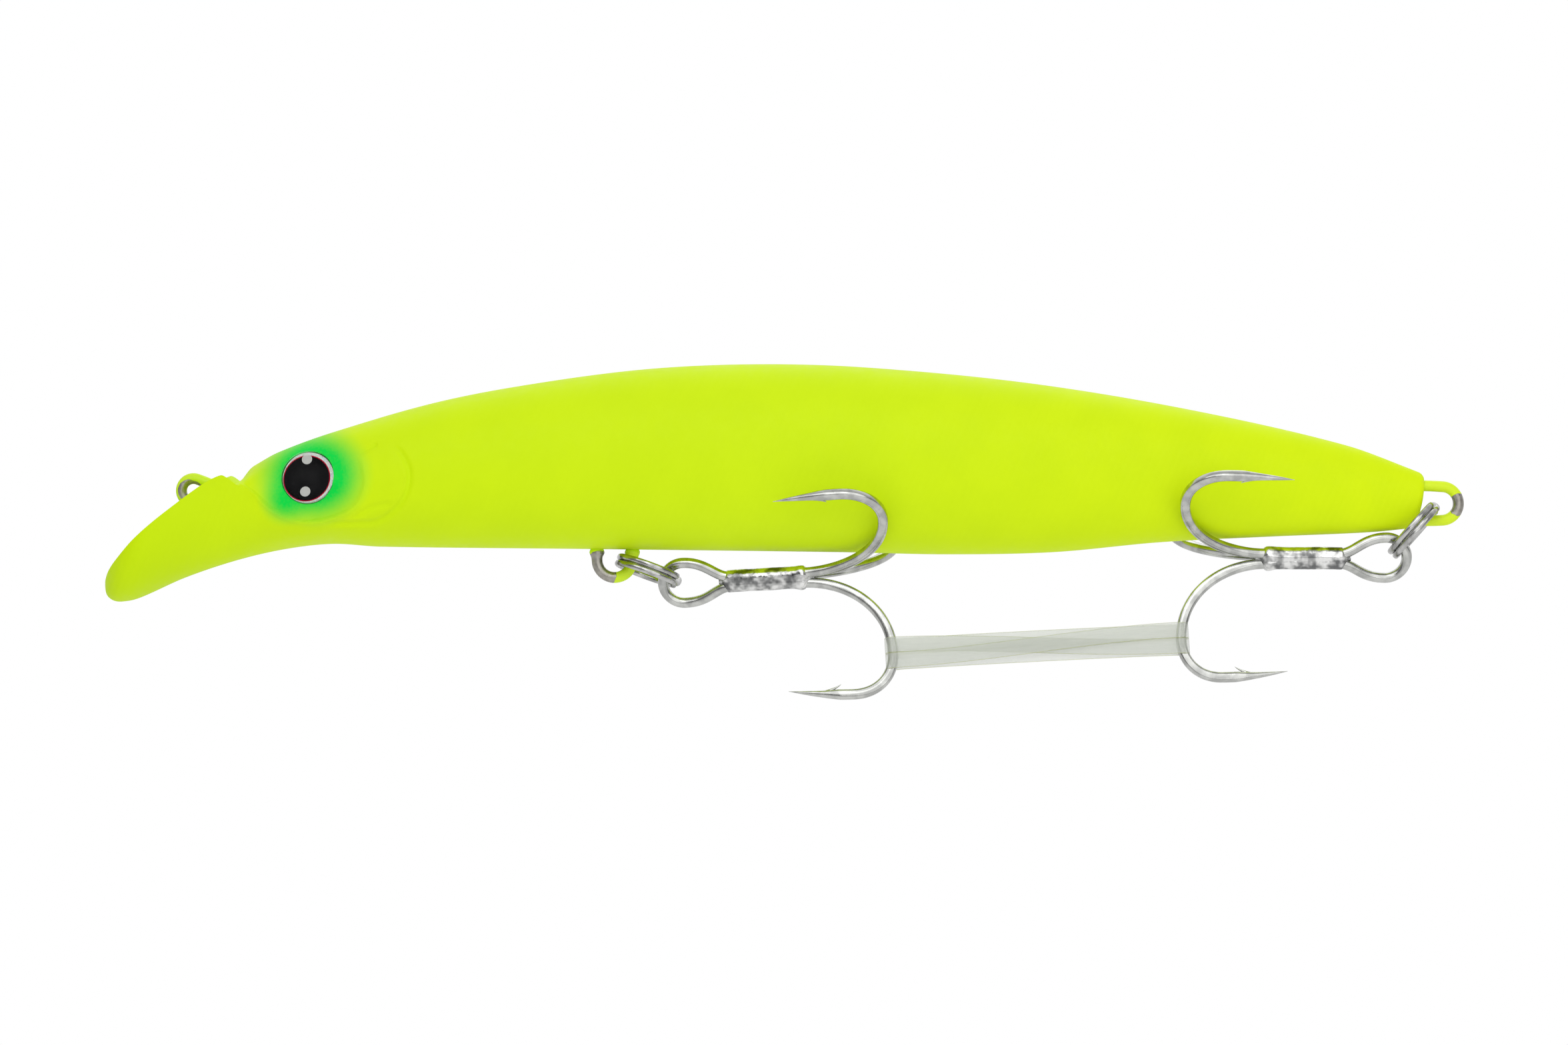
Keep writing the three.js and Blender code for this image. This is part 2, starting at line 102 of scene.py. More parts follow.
# Height of the keel on the centre plane. At the tail it is up to 0.1 higher than in the CAD, so
# that the rear treble's eye clears it.
KEEL = [
    [-8, -8.8], [-7.93, -9.3], [-7.7, -9.7], [-7.2, -10.02], [-6.5, -10.1], [-5, -9.8], [-0.7, -7.9],
    [4.1, -6.3], [8.5, -5.3], [12.7, -4.85], [17, -5.1], [34.6, -5.3], [58.8, -5.6], [68.5, -5.8],
    [78.2, -5.6], [87.9, -4.7], [97.6, -4.2], [108, -3.75], [111.9, -3.4],
]
# Height of the edge line: the rim of the lip, the cheek ridge and then the widest line.
EDGE = [
    [-8, -8.75], [-7.92, -8.25], [-7.4, -7.2], [-6.2, -5.75], [-5, -4.45], [-3.2, -2.85], [-1.3, -1.35],
    [0.5, 0], [1.7, 0.8], [2.9, 1.36], [3.3, 1.25], [4.2, 0.6], [5.8, -0.35], [7.6, -1.8], [10.3, -2.7],
    [14, -1.8], [20, 0.6], [35, 2.4], [51, 2.9], [75, 2.2], [95, 1.1], [111.9, -1],
]
# Half width on the edge line, from behind the rounded end of the lip.
LIP_ROUND_X = -3.5
HALF_WIDTH = [
    [LIP_ROUND_X, 6], [0, 5.7], [4.3, 5.2], [7, 5.2], [10.3, 5.5], [15, 6], [25, 6.5],
    [45, 6.75], [60, 6.65], [75, 6], [90, 4.7], [100, 3.5], [108, 2.1], [111.9, 1.5],
]
# How boxy the upper section is: 2 is an ellipse.
SQUARENESS = [[5, 2.3], [10, 2.8], [16, 2.4], [26, 2.1], [50, 2]]
NOSE_X = -8
TAIL_X = 111.9
BROW_FROM_X, BROW_TO_X = 2.8, 5.2
WALL = 1.2
CAVITY_FROM_X, CAVITY_TO_X = 14.5, 107
SEAM_GAP = 0.02
RIB_THICKNESS = 1
RIB_X = [18.85, 32.15, 44.1, 62, 80, 103]
TAIL_ROUND = 0.5  # rounding of the tail face's edge
TAIL_LEAN = 0.9  # how far the foot of the tail face is set forward
TAIL_LEAN_FROM_X = 104

# Moulded lines on the cheek, as [x, z] points.
CHEEK_RIDGE = [
    [3.6, 1.9], [4.3, 1], [5.8, -0.2], [7.6, -1.8], [10.3, -2.8], [13.3, -2.4], [15.2, -1.15],
    [15.9, 0.7], [15.6, 2.5], [15.4, 3.4],
]
GILL_COVER = [
    [17.9, 4.5], [19.4, 3.1], [20, 1.3], [19.7, -0.2], [18.8, -1.6], [17.3, -2.7], [14.9, -3],
    [12.1, -2.9],
]
GILL_FOLD = [[14.7, -2.7], [16.4, -1.6], [18.6, -1.15]]
GILL_TOP = [[15.5, 3.3], [16.2, 3.75], [17.1, 4.2]]
GROOVES = [(GILL_COVER, 0.2, 0.24), (GILL_FOLD, 0.15, 0.24), (GILL_TOP, 0.15, 0.2)]  # depth, width
RIDGE_HEIGHT, RIDGE_WIDTH = 0.14, 0.24
FIELD_DEPTH = 0.34  # the eye field is set back inside the cheek ridge
HEAD_FROM_X, HEAD_TO_X = 3, 21.5  # the stretch that has relief

# ---- wire, eyes, ballast ----

WIRE_R = 0.5
WIRE_CLEARANCE = 0.1
TIE_LOOP_R = 1.1
WIRE_RUN_Z = -3
HANGER_X, HANGER_Z, HANGER_R = 38.3, -6.3, 1.6
HANGER_FOOT_R = 1.2
TAIL_LOOP_X, TAIL_LOOP_Z, TAIL_LOOP_R = 113.5, -1.17, 1.53

EYE_X, EYE_Z, EYE_R = 10.7, 1.3, 2.4
EYE_DEPTH = 0.75
FOIL_THICKNESS = 0.25
LENS_EDGE = 0.35
LENS_DOME = 0.7
SOCKET_R = EYE_R + 0.05
SOCKET_DEPTH = EYE_DEPTH + 0.03

CHANNEL_R = 2.65
CHANNEL_WALL = 0.65
CHANNEL_FROM_X, CHANNEL_TO_X = 44.6, 97.4
POCKET_CLEARANCE = 0.15

# ---- rings, trebles, band ----

RING_MID_R = 2.86
RING_WIRE_R = 0.29
RING_PITCH = 0.6
FRONT_RING = {"x": 41.4, "z": -7.3, "lean": -20}
TAIL_RING = {"x": 111.02, "z": -3.55, "lean": 48.5}

HOOK_WIRE_R = 0.475
SHANK_R = 0.56
SHANK_LENGTH = 7.6
EYE_LOOP_R = 1.92
EYE_LOOP_X = -3.6
BEND_X, BEND_R = 15.2, 7.5
GAP_R = 11.05
POINT_X, POINT_R = 5.6, 10.5
TREBLE_Y = -0.3
FRONT_TREBLE = {"x": 48.2, "z": -8.2, "along": 1, "rise": 3, "roll": 49, "yaw": 5}
REAR_TREBLE = {"x": 104.8, "z": -6.1, "along": -1, "rise": 0, "roll": 48, "yaw": 2}

STRAND_WIDTH = 1.42
STRAND_THICKNESS = 0.22
STRAND_CORNER = 0.06  # rounding of the strand's edges
STRAND_HALF_GAP = 0.01  # half of the gap between two strands side by side
BAND_CLEARANCE = 0.04  # between the hook wire and the inside of a wrap
FAR_STRANDS_IN = 0.66  # the far strands are drawn in, clear of the front single hook
CROSSED_STRANDS_OUT = 0.13  # the near strands pass each other by twice this

# ---- camera and studio ----

LENS, SENSOR = 150, 36
VIEW_WIDTH = 142.6  # how much of the object's plane the picture spans
VIEW_X, VIEW_Z = 53.7, -2.9
FLOOR_DROP = 520  # the floor is this far below the lure
FLOOR_HALF = 6  # half of its width, in metres


def make_camera():
    data = bpy.data.cameras.new("camera")
    data.lens = LENS
    data.sensor_width = SENSOR
    data.clip_start = 0.01
    data.clip_end = 30
    camera = bpy.data.objects.new("camera", data)
    distance = VIEW_WIDTH * LENS / SENSOR
    camera.location = (VIEW_X * MM, -distance * MM, VIEW_Z * MM)
    camera.rotation_euler = (math.radians(90), 0, 0)
    bpy.context.scene.collection.objects.link(camera)
    bpy.context.scene.camera = camera


make_camera()

# ---- numbers and curves ----


def smoothstep(value, low, high):
    share = np.clip((value - low) / (high - low), 0, 1)
    return share * share * (3 - 2 * share)


def unit(vectors):
    vectors = np.asarray(vectors, float)
    return vectors / np.linalg.norm(vectors, axis=-1, keepdims=True)


def hermite(t, step, values, slopes, i):
    """Value of a smooth curve at the share t of the way from knot i to the next, a step on."""
    return (
        (1 + 2 * t) * (1 - t) ** 2 * values[i]
        + t * (1 - t) ** 2 * step * slopes[i]
        + t**2 * (3 - 2 * t) * values[i + 1]
        + t**2 * (t - 1) * step * slopes[i + 1]
    )


def profile(points):
    """A smooth function through [x, value] points."""
    xs, values = np.array(points, float).T
    slopes = np.empty_like(xs)
    slopes[1:-1] = (values[2:] - values[:-2]) / (xs[2:] - xs[:-2])
    slopes[0] = (values[1] - values[0]) / (xs[1] - xs[0])
    slopes[-1] = (values[-1] - values[-2]) / (xs[-1] - xs[-2])

    def at(x):
        x = np.clip(x, xs[0], xs[-1])
        i = np.clip(np.searchsorted(xs, x, side="right") - 1, 0, len(xs) - 2)
        step = xs[i + 1] - xs[i]
        return hermite((x - xs[i]) / step, step, values, slopes, i)

    return at


def spline(points, step):
    """Points about one step apart on a smooth curve through the given points."""
    points = np.array(points, float)
    chords = np.linalg.norm(np.diff(points, axis=0), axis=1)
    knots = np.concatenate([[0], np.cumsum(chords)])
    slopes = np.gradient(points, knots, axis=0)
    s = np.linspace(0, knots[-1], int(knots[-1] / step) + 2)
    i = np.clip(np.searchsorted(knots, s, side="right") - 1, 0, len(knots) - 2)
    width = (knots[i + 1] - knots[i])[:, None]
    return hermite((s - knots[i])[:, None] / width, width, points, slopes, i)


def bezier(corners, count):
    a, b, c, d = np.array(corners, float)
    t = np.linspace(0, 1, count)[:, None]
    return (1 - t) ** 3 * a + 3 * t * (1 - t) ** 2 * b + 3 * t**2 * (1 - t) * c + t**3 * d


def arc(x, z, radius, from_deg, to_deg, count):
    """Points of an arc in the centre plane, angles from +X towards +Z."""
    angle = np.radians(np.linspace(from_deg, to_deg, count))
    return [[x + radius * math.cos(a), 0, z + radius * math.sin(a)] for a in angle]


def from_curve(curve, x, z):
    """Signed distance of points in the XZ plane from a smooth curve, positive on its left,
    and how far along the curve the nearest place is, from 0 to 1."""
    line = spline(curve, 0.12)
    ahead = unit(np.gradient(line, axis=0))
    gap_x = x[..., None] - line[:, 0]
    gap_z = z[..., None] - line[:, 1]
    nearest = np.argmin(gap_x**2 + gap_z**2, axis=-1)
    off_x = x - line[nearest, 0]
    off_z = z - line[nearest, 1]
    side = ahead[nearest, 0] * off_z - ahead[nearest, 1] * off_x
    return np.hypot(off_x, off_z) * np.sign(side), nearest / (len(line) - 1)


def ripple(points, scale, seed):
    """Smooth repeatable unevenness from -1 to 1, from sums of sine waves."""
    draw = np.random.default_rng(seed)
    total = np.zeros(points.shape[:-1])
    for _ in range(6):
        wave = draw.normal(size=3) / scale
        total += np.sin(points @ wave + draw.uniform(0, 2 * math.pi))
    return total / 6


# ---- meshes ----


def outward(points, faces):
    """The faces, turned over if the closed surface that they make faces inwards."""
    volume = 0.0
    for size in (3, 4):
        same = np.array([f for f in faces if len(f) == size], int)
        for k in range(1, size - 1):
            if len(same):
                a, b, c = points[same[:, 0]], points[same[:, k]], points[same[:, k + 1]]
                volume += np.einsum("ij,ij->i", a, np.cross(b, c)).sum()
    return faces if volume > 0 else [f[::-1] for f in faces]


def mesh_of(points, faces):
    points = np.asarray(points, float)
    mesh = bpy.data.meshes.new("surface")
    mesh.from_pydata(points.tolist(), [], outward(points, faces))
    return mesh


def loft(rings, looped=False):
    """A closed surface through rings of points. A looped one joins its last ring to its first."""
    count, sides = rings.shape[:2]
    row, k = np.meshgrid(np.arange(count if looped else count - 1), np.arange(sides), indexing="ij")
    after = (k + 1) % sides
    below, above = row * sides, (row + 1) % count * sides
    faces = np.stack([below + k, below + after, above + after, above + k], -1)
    faces = faces.reshape(-1, 4).tolist()
    points = rings.reshape(-1, 3)
    if not looped:
        k = np.arange(sides)
        after = (k + 1) % sides
        start, end = np.full(sides, count * sides), np.full(sides, count * sides + 1)
        last = (count - 1) * sides
        faces += np.stack([after, k, start], -1).tolist()
        faces += np.stack([last + k, last + after, end], -1).tolist()
        points = np.concatenate([points, rings[:1].mean(1), rings[-1:].mean(1)])
    return mesh_of(points, faces)


def sweep(path, radius, across, sides=20, thin=1.0, square=2.0):
    """A closed wire along a path. across is a direction, or one for each point, that the
    section is set to, thin its thickness that way, and square how boxy it is (2 is round)."""
    count = len(path)
    ahead = unit(np.gradient(path, axis=0))
    across = np.broadcast_to(across, (count, 3))
    first = unit(across - np.einsum("ij,ij->i", across, ahead)[:, None] * ahead)
    second = np.cross(ahead, first)
    angle = np.linspace(0, 2 * math.pi, sides, endpoint=False)[None]
    power = 2 / np.broadcast_to(square, count)[:, None]
    cosine, sine = np.cos(angle), np.sin(angle)
    u = np.sign(cosine) * np.abs(cosine) ** power * np.broadcast_to(thin, count)[:, None]
    v = np.sign(sine) * np.abs(sine) ** power
    reach = np.broadcast_to(radius, count)[:, None, None]
    offset = u[..., None] * first[:, None] + v[..., None] * second[:, None]
    return loft(path[:, None] + reach * offset)


def lathe(outline, sides, centre=(0, 0, 0), axis=(1, 0, 0)):
    """A closed turned body. The outline has [distance along, radius] points, its ends near the
    axis, and centre is where distance along is 0."""
    axis = unit(axis)
    other = (0, 0, 1) if abs(axis[2]) < 0.9 else (1, 0, 0)
    first = unit(np.cross(axis, other))
    second = np.cross(axis, first)
    angle = np.linspace(0, 2 * math.pi, sides, endpoint=False)[:, None]
    spokes = np.cos(angle) * first + np.sin(angle) * second
    outline = np.array(outline, float)
    rings = np.array(centre) + outline[:, :1, None] * axis + outline[:, 1:, None] * spokes
    return loft(rings)


def box(low, high):
    corners = [
        [(low, high)[i][0], (low, high)[j][1], (low, high)[k][2]]
        for i in (0, 1) for j in (0, 1) for k in (0, 1)
    ]
    faces = [[0, 1, 3, 2], [4, 6, 7, 5], [0, 4, 5, 1], [2, 3, 7, 6], [0, 2, 6, 4], [1, 5, 7, 3]]
    return mesh_of(corners, faces)


def combined(base, steps):
    """The mesh that is left when meshes are joined to, cut from or crossed with the base."""
    scene = bpy.context.scene.collection.objects
    made = bpy.data.objects.new("base", base)
    scene.link(made)
    used = [made]
    for operation, mesh in steps:
        other = bpy.data.objects.new("other", mesh)
        scene.link(other)
        used.append(other)
        modifier = made.modifiers.new("step", "BOOLEAN")
        modifier.operation = operation
        modifier.solver = "MANIFOLD"
        modifier.object = other
    bpy.context.view_layer.update()
    graph = bpy.context.evaluated_depsgraph_get()
    result = bpy.data.meshes.new_from_object(made.evaluated_get(graph))
    for each in used:
        data = each.data
        bpy.data.objects.remove(each)
        bpy.data.meshes.remove(data)
    return result


def points_of(mesh):
    points = np.empty(len(mesh.vertices) * 3)
    mesh.vertices.foreach_get("co", points)
    return points.reshape(-1, 3)


def note(mesh, name, values):
    """Stores one number for each vertex, for the material to read."""
    values = np.asarray(values, np.float32)
    mesh.attributes.new(name, "FLOAT", "POINT").data.foreach_set("value", values)


def mirrored(mesh):
    """A copy of a mesh on the other side of the centre plane."""
    copy = mesh.copy()
    copy.transform(Matrix.Scale(-1, 4, (0, 1, 0)))
    copy.flip_normals()
    return copy


def piece(name, mesh, look, body, node, sharp=35):
    """Makes a mesh in millimetres into a piece that rides on a body and stands for a CAD node."""
    mesh.transform(Matrix.Scale(MM, 4))
    mesh.materials.clear()
    mesh.materials.append(look)
    mesh.shade_smooth()
    mesh.set_sharp_from_angle(angle=math.radians(sharp))
    made = bpy.data.objects.new(name, mesh)
    bpy.context.scene.collection.objects.link(made)
    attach(made, body)
    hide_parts(node)
    return made


# ---- materials ----


def srgb(red, green, blue):
    """A colour from 0 to 255 as linear light."""
    def linear(value):
        value /= 255
        return value / 12.92 if value <= 0.04045 else ((value + 0.055) / 1.055) ** 2.4
    return (linear(red), linear(green), linear(blue), 1)


class Graph:
    """A shader node tree under construction."""

    def __init__(self, owner):
        owner.use_nodes = True
        self.tree = owner.node_tree
        self.tree.nodes.clear()

    def node(self, kind, inputs=None, **settings):
        made = self.tree.nodes.new("ShaderNode" + kind)
        for key, value in settings.items():
            setattr(made, key, value)
        for key, value in (inputs or {}).items():
            if isinstance(value, bpy.types.NodeSocket):
                self.tree.links.new(value, made.inputs[key])
            else:
                made.inputs[key].default_value = value
        return made

    def math(self, operation, a, b=0.0):
        return self.node("Math", {0: a, 1: b}, operation=operation).outputs[0]

    def mix(self, share, a, b):
        made = self.node("Mix", {0: share, 6: a, 7: b}, data_type="RGBA")
        return made.outputs[2]

    def blend(self, share, a, b):
        """A number between two."""
        return self.node("Mix", {0: share, 2: a, 3: b}).outputs[0]

    def spread(self, value, low, high, to_low=0.0, to_high=1.0, smooth=True):
        return self.node("MapRange", {
            0: value, 1: low, 2: high, 3: to_low, 4: to_high,
        }, interpolation_type="SMOOTHSTEP" if smooth else "LINEAR").outputs[0]

    def length(self, vector):
        return self.node("VectorMath", {0: vector}, operation="LENGTH").outputs[1]

    def end(self, kind, shader):
        """Joins a shader to a new output node."""
        self.tree.links.new(shader, self.node(kind).inputs["Surface"])


class Look(Graph):
    """A node material under construction. Its places are in millimetres."""

    def __init__(self, name):
        self.material = bpy.data.materials.new(name)
        super().__init__(self.material)
        place = self.node("TexCoord").outputs["Object"]
        self.place = self.node("VectorMath", {0: place, "Scale": 1 / MM}, operation="SCALE").outputs[0]

    def noise(self, scale, detail=2.0, place=None):
        """Noise whose features are about 1 / scale millimetres wide."""
        inputs = {"Vector": place or self.place, "Scale": scale, "Detail": detail}
        return self.node("TexNoise", inputs).outputs["Fac"]

    def ramp(self, value, stops):
        """A colour from a number, by [place, colour] stops."""
        made = self.node("ValToRGB", {0: value})
        elements = made.color_ramp.elements
        while len(elements) < len(stops):
            elements.new(0.5)
        for element, (where, tint) in zip(elements, stops):
            element.position = where
            element.color = tint
        return made.outputs[0]

    def stored(self, name):
        return self.node("Attribute", attribute_name=name).outputs["Fac"]

    def bump(self, height, distance):
        """Bump of a height from 0 to 1, where distance is the height of 1 in millimetres."""
        return self.node("Bump", {"Height": height, "Distance": distance * MM}).outputs[0]

    def finish(self, **inputs):
        """Ends the material with a principled shader."""
        names = {key.replace("_", " "): value for key, value in inputs.items()}
        self.end("OutputMaterial", self.node("BsdfPrincipled", names).outputs[0])
        return self.material


# Lobes of the airbrushed shade round each eye: x, z, radii, and the share of them that is full.
HALO_LOBES = [(11.2, 1.4, 5.9, 5.2, 0.42), (8.7, -0.9, 2.7, 2.7, 0.05)]
HALO_GREEN = srgb(4, 222, 72)
PAINT_ALONG = [  # the paint's colour along the body, as shares of its length
    (0.0, srgb(204, 238, 0)),
    (0.12, srgb(212, 244, 6)),
    (0.55, srgb(214, 246, 14)),
    (1.0, srgb(224, 250, 4)),
]
MOTTLE_COLOUR = srgb(200, 234, 4)
SCALE_PITCH, SCALE_LEAN_DEG = 0.67, -24  # the faint scale pattern's lines
BANDS_PER_UNIT = 3.2  # what a wave texture of scale 1 has


def halo(look):
    """How much green airbrushed shade there is, from 0 to 1."""
    clear_share = 1.0
    for x, z, radius_x, radius_z, full in HALO_LOBES:
        offset = look.node("VectorMath", {0: look.place, 1: (-x, 0, -z)}, operation="ADD").outputs[0]
        scaled = look.node("VectorMath", {
            0: offset, 1: (1 / radius_x, 0, 1 / radius_z),
        }, operation="MULTIPLY").outputs[0]
        outside = look.spread(look.length(scaled), full, 1.0)
        clear_share = look.math("MULTIPLY", clear_share, outside)
    return look.math("SUBTRACT", 1.0, clear_share)


def paint_colour(look):
    x = look.node("SeparateXYZ", {0: look.place}).outputs[0]
    colour = look.ramp(look.spread(x, NOSE_X, TAIL_X, smooth=False), PAINT_ALONG)
    mottle = look.spread(look.noise(0.22, 3), 0.3, 0.7, 0.0, 0.2)
    colour = look.mix(mottle, colour, MOTTLE_COLOUR)
    shade = halo(look)
    # Airbrush spray breaks up where it is thin.
    speckle = look.spread(look.noise(4, 2), 0.25, 0.75, 0.97, 1.03)
    return look.mix(look.math("MULTIPLY", shade, speckle), colour, HALO_GREEN)


def body_paint():
    look = Look("chartreuse_paint")
    grain = look.noise(5, 3)
    lean = (0, math.radians(SCALE_LEAN_DEG), 0)
    place = look.node("Mapping", {"Vector": look.place, "Rotation": lean}).outputs[0]
    scales = look.node("TexWave", {
        "Vector": place, "Scale": 1 / SCALE_PITCH / BANDS_PER_UNIT,
        "Distortion": 1.6, "Detail": 1.0, "Detail Scale": 0.6,
    }, wave_type="BANDS", bands_direction="X").outputs["Fac"]
    height = look.math("ADD", look.math("MULTIPLY", grain, 0.35), look.math("MULTIPLY", scales, 0.5))
    return look.finish(
        Base_Color=paint_colour(look),
        Roughness=look.spread(look.noise(1.2, 3), 0.3, 0.7, 0.46, 0.56),
        Normal=look.bump(height, 0.012),
        Specular_IOR_Level=0.12,
    )


def wire_metal():
    """Stainless wire under chartreuse paint that is worn through where the mesh says so."""
    look = Look("painted_wire")
    edge = look.math("ADD", look.stored("worn"), look.spread(look.noise(1.8, 3), 0.2, 0.8, -0.16, 0.16))
    bare = look.spread(edge, 0.47, 0.53)
    metal = look.mix(look.noise(2.5, 3), srgb(128, 124, 116), srgb(196, 192, 184))
    return look.finish(
        Base_Color=look.mix(bare, paint_colour(look), metal),
        Metallic=bare,
        Roughness=look.blend(bare, 0.5, look.spread(look.noise(5, 3), 0.3, 0.7, 0.28, 0.46)),
        Normal=look.bump(look.math("SUBTRACT", look.math("MULTIPLY", look.noise(4, 3), 0.3), bare), 0.05),
    )


def steel(name, dark, light, rough_low, rough_high, grain, depth):
    """Bare metal with soft mottling, graining and uneven shine."""
    look = Look(name)
    cloud = look.spread(look.noise(0.9, 2), 0.35, 0.65)
    return look.finish(
        Base_Color=look.mix(cloud, dark, light),
        Metallic=1.0,
        Roughness=look.spread(look.noise(grain, 3), 0.3, 0.7, rough_low, rough_high),
        Normal=look.bump(look.noise(grain * 1.7, 2), depth),
    )


PUPIL_R = 2.07
RED_R = 2.16
PUPIL_X, PUPIL_Z = -0.14, -0.08  # the print is a little off the foil's centre
DOT_R = 0.47
DOTS = [(-0.15, 1.73), (-0.25, -1.31)]
PRINT_EDGE = 0.03  # how soft the printed rings' edges are


def eye_print():
    """Printed foil: silver rim, thin red ring, black pupil and two pale highlight dots."""
    look = Look("eye_print")
    across = look.stored("across")
    up = look.stored("up")

    def away_from(x, z):
        return look.length(look.node("CombineXYZ", {
            0: look.math("SUBTRACT", across, x), 1: look.math("SUBTRACT", up, z),
        }).outputs[0])

    reach = away_from(PUPIL_X, PUPIL_Z)
    sparkle = look.node("TexVoronoi", {"Vector": look.place, "Scale": 7.0}).outputs["Color"]
    tint = look.node("HueSaturation", {"Color": sparkle, "Saturation": 0.35, "Value": 1.1}).outputs[0]
    silver = look.mix(0.25, srgb(192, 192, 186), tint)
    red = look.mix(look.noise(1.5), srgb(150, 12, 30), srgb(216, 28, 72))
    colour = look.mix(look.spread(reach, PUPIL_R, PUPIL_R + PRINT_EDGE), srgb(10, 9, 11), red)
    foil = look.spread(reach, RED_R, RED_R + PRINT_EDGE)
    colour = look.mix(foil, colour, silver)
    for x, z in DOTS:
        dot = look.spread(away_from(x, z), DOT_R - 0.02, DOT_R + 0.02, 1.0, 0.0)
        colour = look.mix(dot, colour, srgb(202, 199, 194))
    return look.finish(
        Base_Color=colour,
        Metallic=look.math("MULTIPLY", foil, 0.6),
        Roughness=0.4,
        Specular_IOR_Level=look.blend(foil, 0.0, 0.5),
    )


def clear(name, shine, rough, tint):
    """Clear plastic: what is behind it, under a gloss that grows as the surface turns away."""
    look = Look(name)
    grain = look.bump(look.noise(1.5, 2), 0.004)
    gloss = look.node("BsdfGlossy", {
        "Roughness": look.spread(look.noise(0.8), 0.3, 0.7, rough, rough * 2), "Normal": grain,
    }).outputs[0]
    through = look.node("BsdfTransparent", {"Color": tint}).outputs[0]
    facing = look.node("LayerWeight", {"Blend": 0.5, "Normal": grain}).outputs["Facing"]
    share = look.spread(look.math("POWER", facing, 5.0), 0, 1, shine, 1.0, smooth=False)
    look.end("OutputMaterial", look.node("MixShader", {0: share, 1: through, 2: gloss}).outputs[0])
    return look.material


def band_film():
    """Clear stretched elastic, slightly milky, with faint drawn streaks and thicker edges."""
    look = Look("band_film")
    side = look.math("ABSOLUTE", look.math("SUBTRACT", look.stored("across"), 0.5))
    rim = look.spread(side, 0.455, 0.495)
    place = look.node("CombineXYZ", {
        0: look.math("MULTIPLY", look.stored("along"), 0.05), 1: look.stored("across"), 2: 0.0,
    }).outputs[0]
    streak = look.noise(4, 2, place=place)
    milk = look.spread(streak, 0.3, 0.7, 0.34, 0.37)
    return look.finish(
        Base_Color=look.mix(rim, srgb(216, 220, 211), srgb(196, 202, 150)),
        Alpha=look.blend(rim, milk, 0.5),
        Roughness=0.35,
        Normal=look.bump(streak, 0.002),
    )


PAINT = body_paint()
WIRE = wire_metal()
RING_STEEL = steel("ring_steel", srgb(158, 158, 156), srgb(198, 198, 196), 0.12, 0.2, 2.5, 0.002)
TINNED = steel("tinned_wire", srgb(176, 177, 174), srgb(204, 205, 201), 0.13, 0.21, 2.4, 0.003)
SOLDER = steel("solder", srgb(112, 113, 113), srgb(234, 234, 232), 0.1, 0.26, 0.8, 0.06)
TUNGSTEN = steel("tungsten", srgb(92, 94, 98), srgb(140, 142, 146), 0.3, 0.45, 3, 0.01)
MAGNET = steel("magnet_plating", srgb(150, 150, 152), srgb(196, 196, 198), 0.12, 0.22, 2, 0.004)
EYE_PRINT = eye_print()
LENS_PLASTIC = clear("lens_plastic", 0.005, 0.16, (0.97, 0.98, 0.98, 1))
BAND_FILM = band_film()

# ---- body ----

back_at = profile(BACK)
keel_at = profile(KEEL)
edge_at = profile(EDGE)
width_at = profile(HALF_WIDTH)
squareness_at = profile(SQUARENESS)


def half_width_at(x):
    """Half width on the edge line; the lip is rounded in plan in front of its widest place."""
    share = np.clip((LIP_ROUND_X - x) / (LIP_ROUND_X - NOSE_X), 0, 1)
    return width_at(np.maximum(x, LIP_ROUND_X)) * np.sqrt(1 - share**2)


def half_sections(x, inset, lower_steps, upper_steps):
    """Half sections at stations x, set in from the outside: (station, point, xyz), keel first."""
    x, inset = x[:, None], np.broadcast_to(inset, len(x))[:, None]
    width = half_width_at(x) - inset
    edge = edge_at(x)
    drop = edge - keel_at(x) - inset
    rise = back_at(x) - inset - edge
    power = 2 / squareness_at(x)
    crowned = smoothstep(x, BROW_FROM_X, BROW_TO_X)
    lower = np.linspace(0, math.pi / 2, lower_steps + 1)[None]
    share = np.linspace(0, 1, upper_steps + 1)[None, 1:]
    upper = share * math.pi / 2
    crown_y = width * np.maximum(np.cos(upper), 0) ** power
    crown_z = edge + rise * np.sin(upper) ** power
    dish_y = width * (1 - share)
    dish_z = edge + rise * smoothstep(share, 0, 1)
    y = np.hstack([width * np.sin(lower), dish_y + (crown_y - dish_y) * crowned])
    z = np.hstack([edge - drop * np.cos(lower), dish_z + (crown_z - dish_z) * crowned])
    return np.stack([np.broadcast_to(x, y.shape), y, z], -1)


def whole_body(stations, inset):
    """The closed body on both sides of the centre plane."""
    half = half_sections(stations, inset, lower_steps=16, upper_steps=18)
    other = half[:, -2:0:-1] * (1, -1, 1)
    return loft(np.concatenate([half, other], axis=1))


def flank_at(x, z):
    """Half width of the upper body at a height."""
    up = ((z - edge_at(x)) / (back_at(x) - edge_at(x))) ** (squareness_at(x) / 2)
    return half_width_at(x) * math.sqrt(1 - up**2) ** (2 / squareness_at(x))


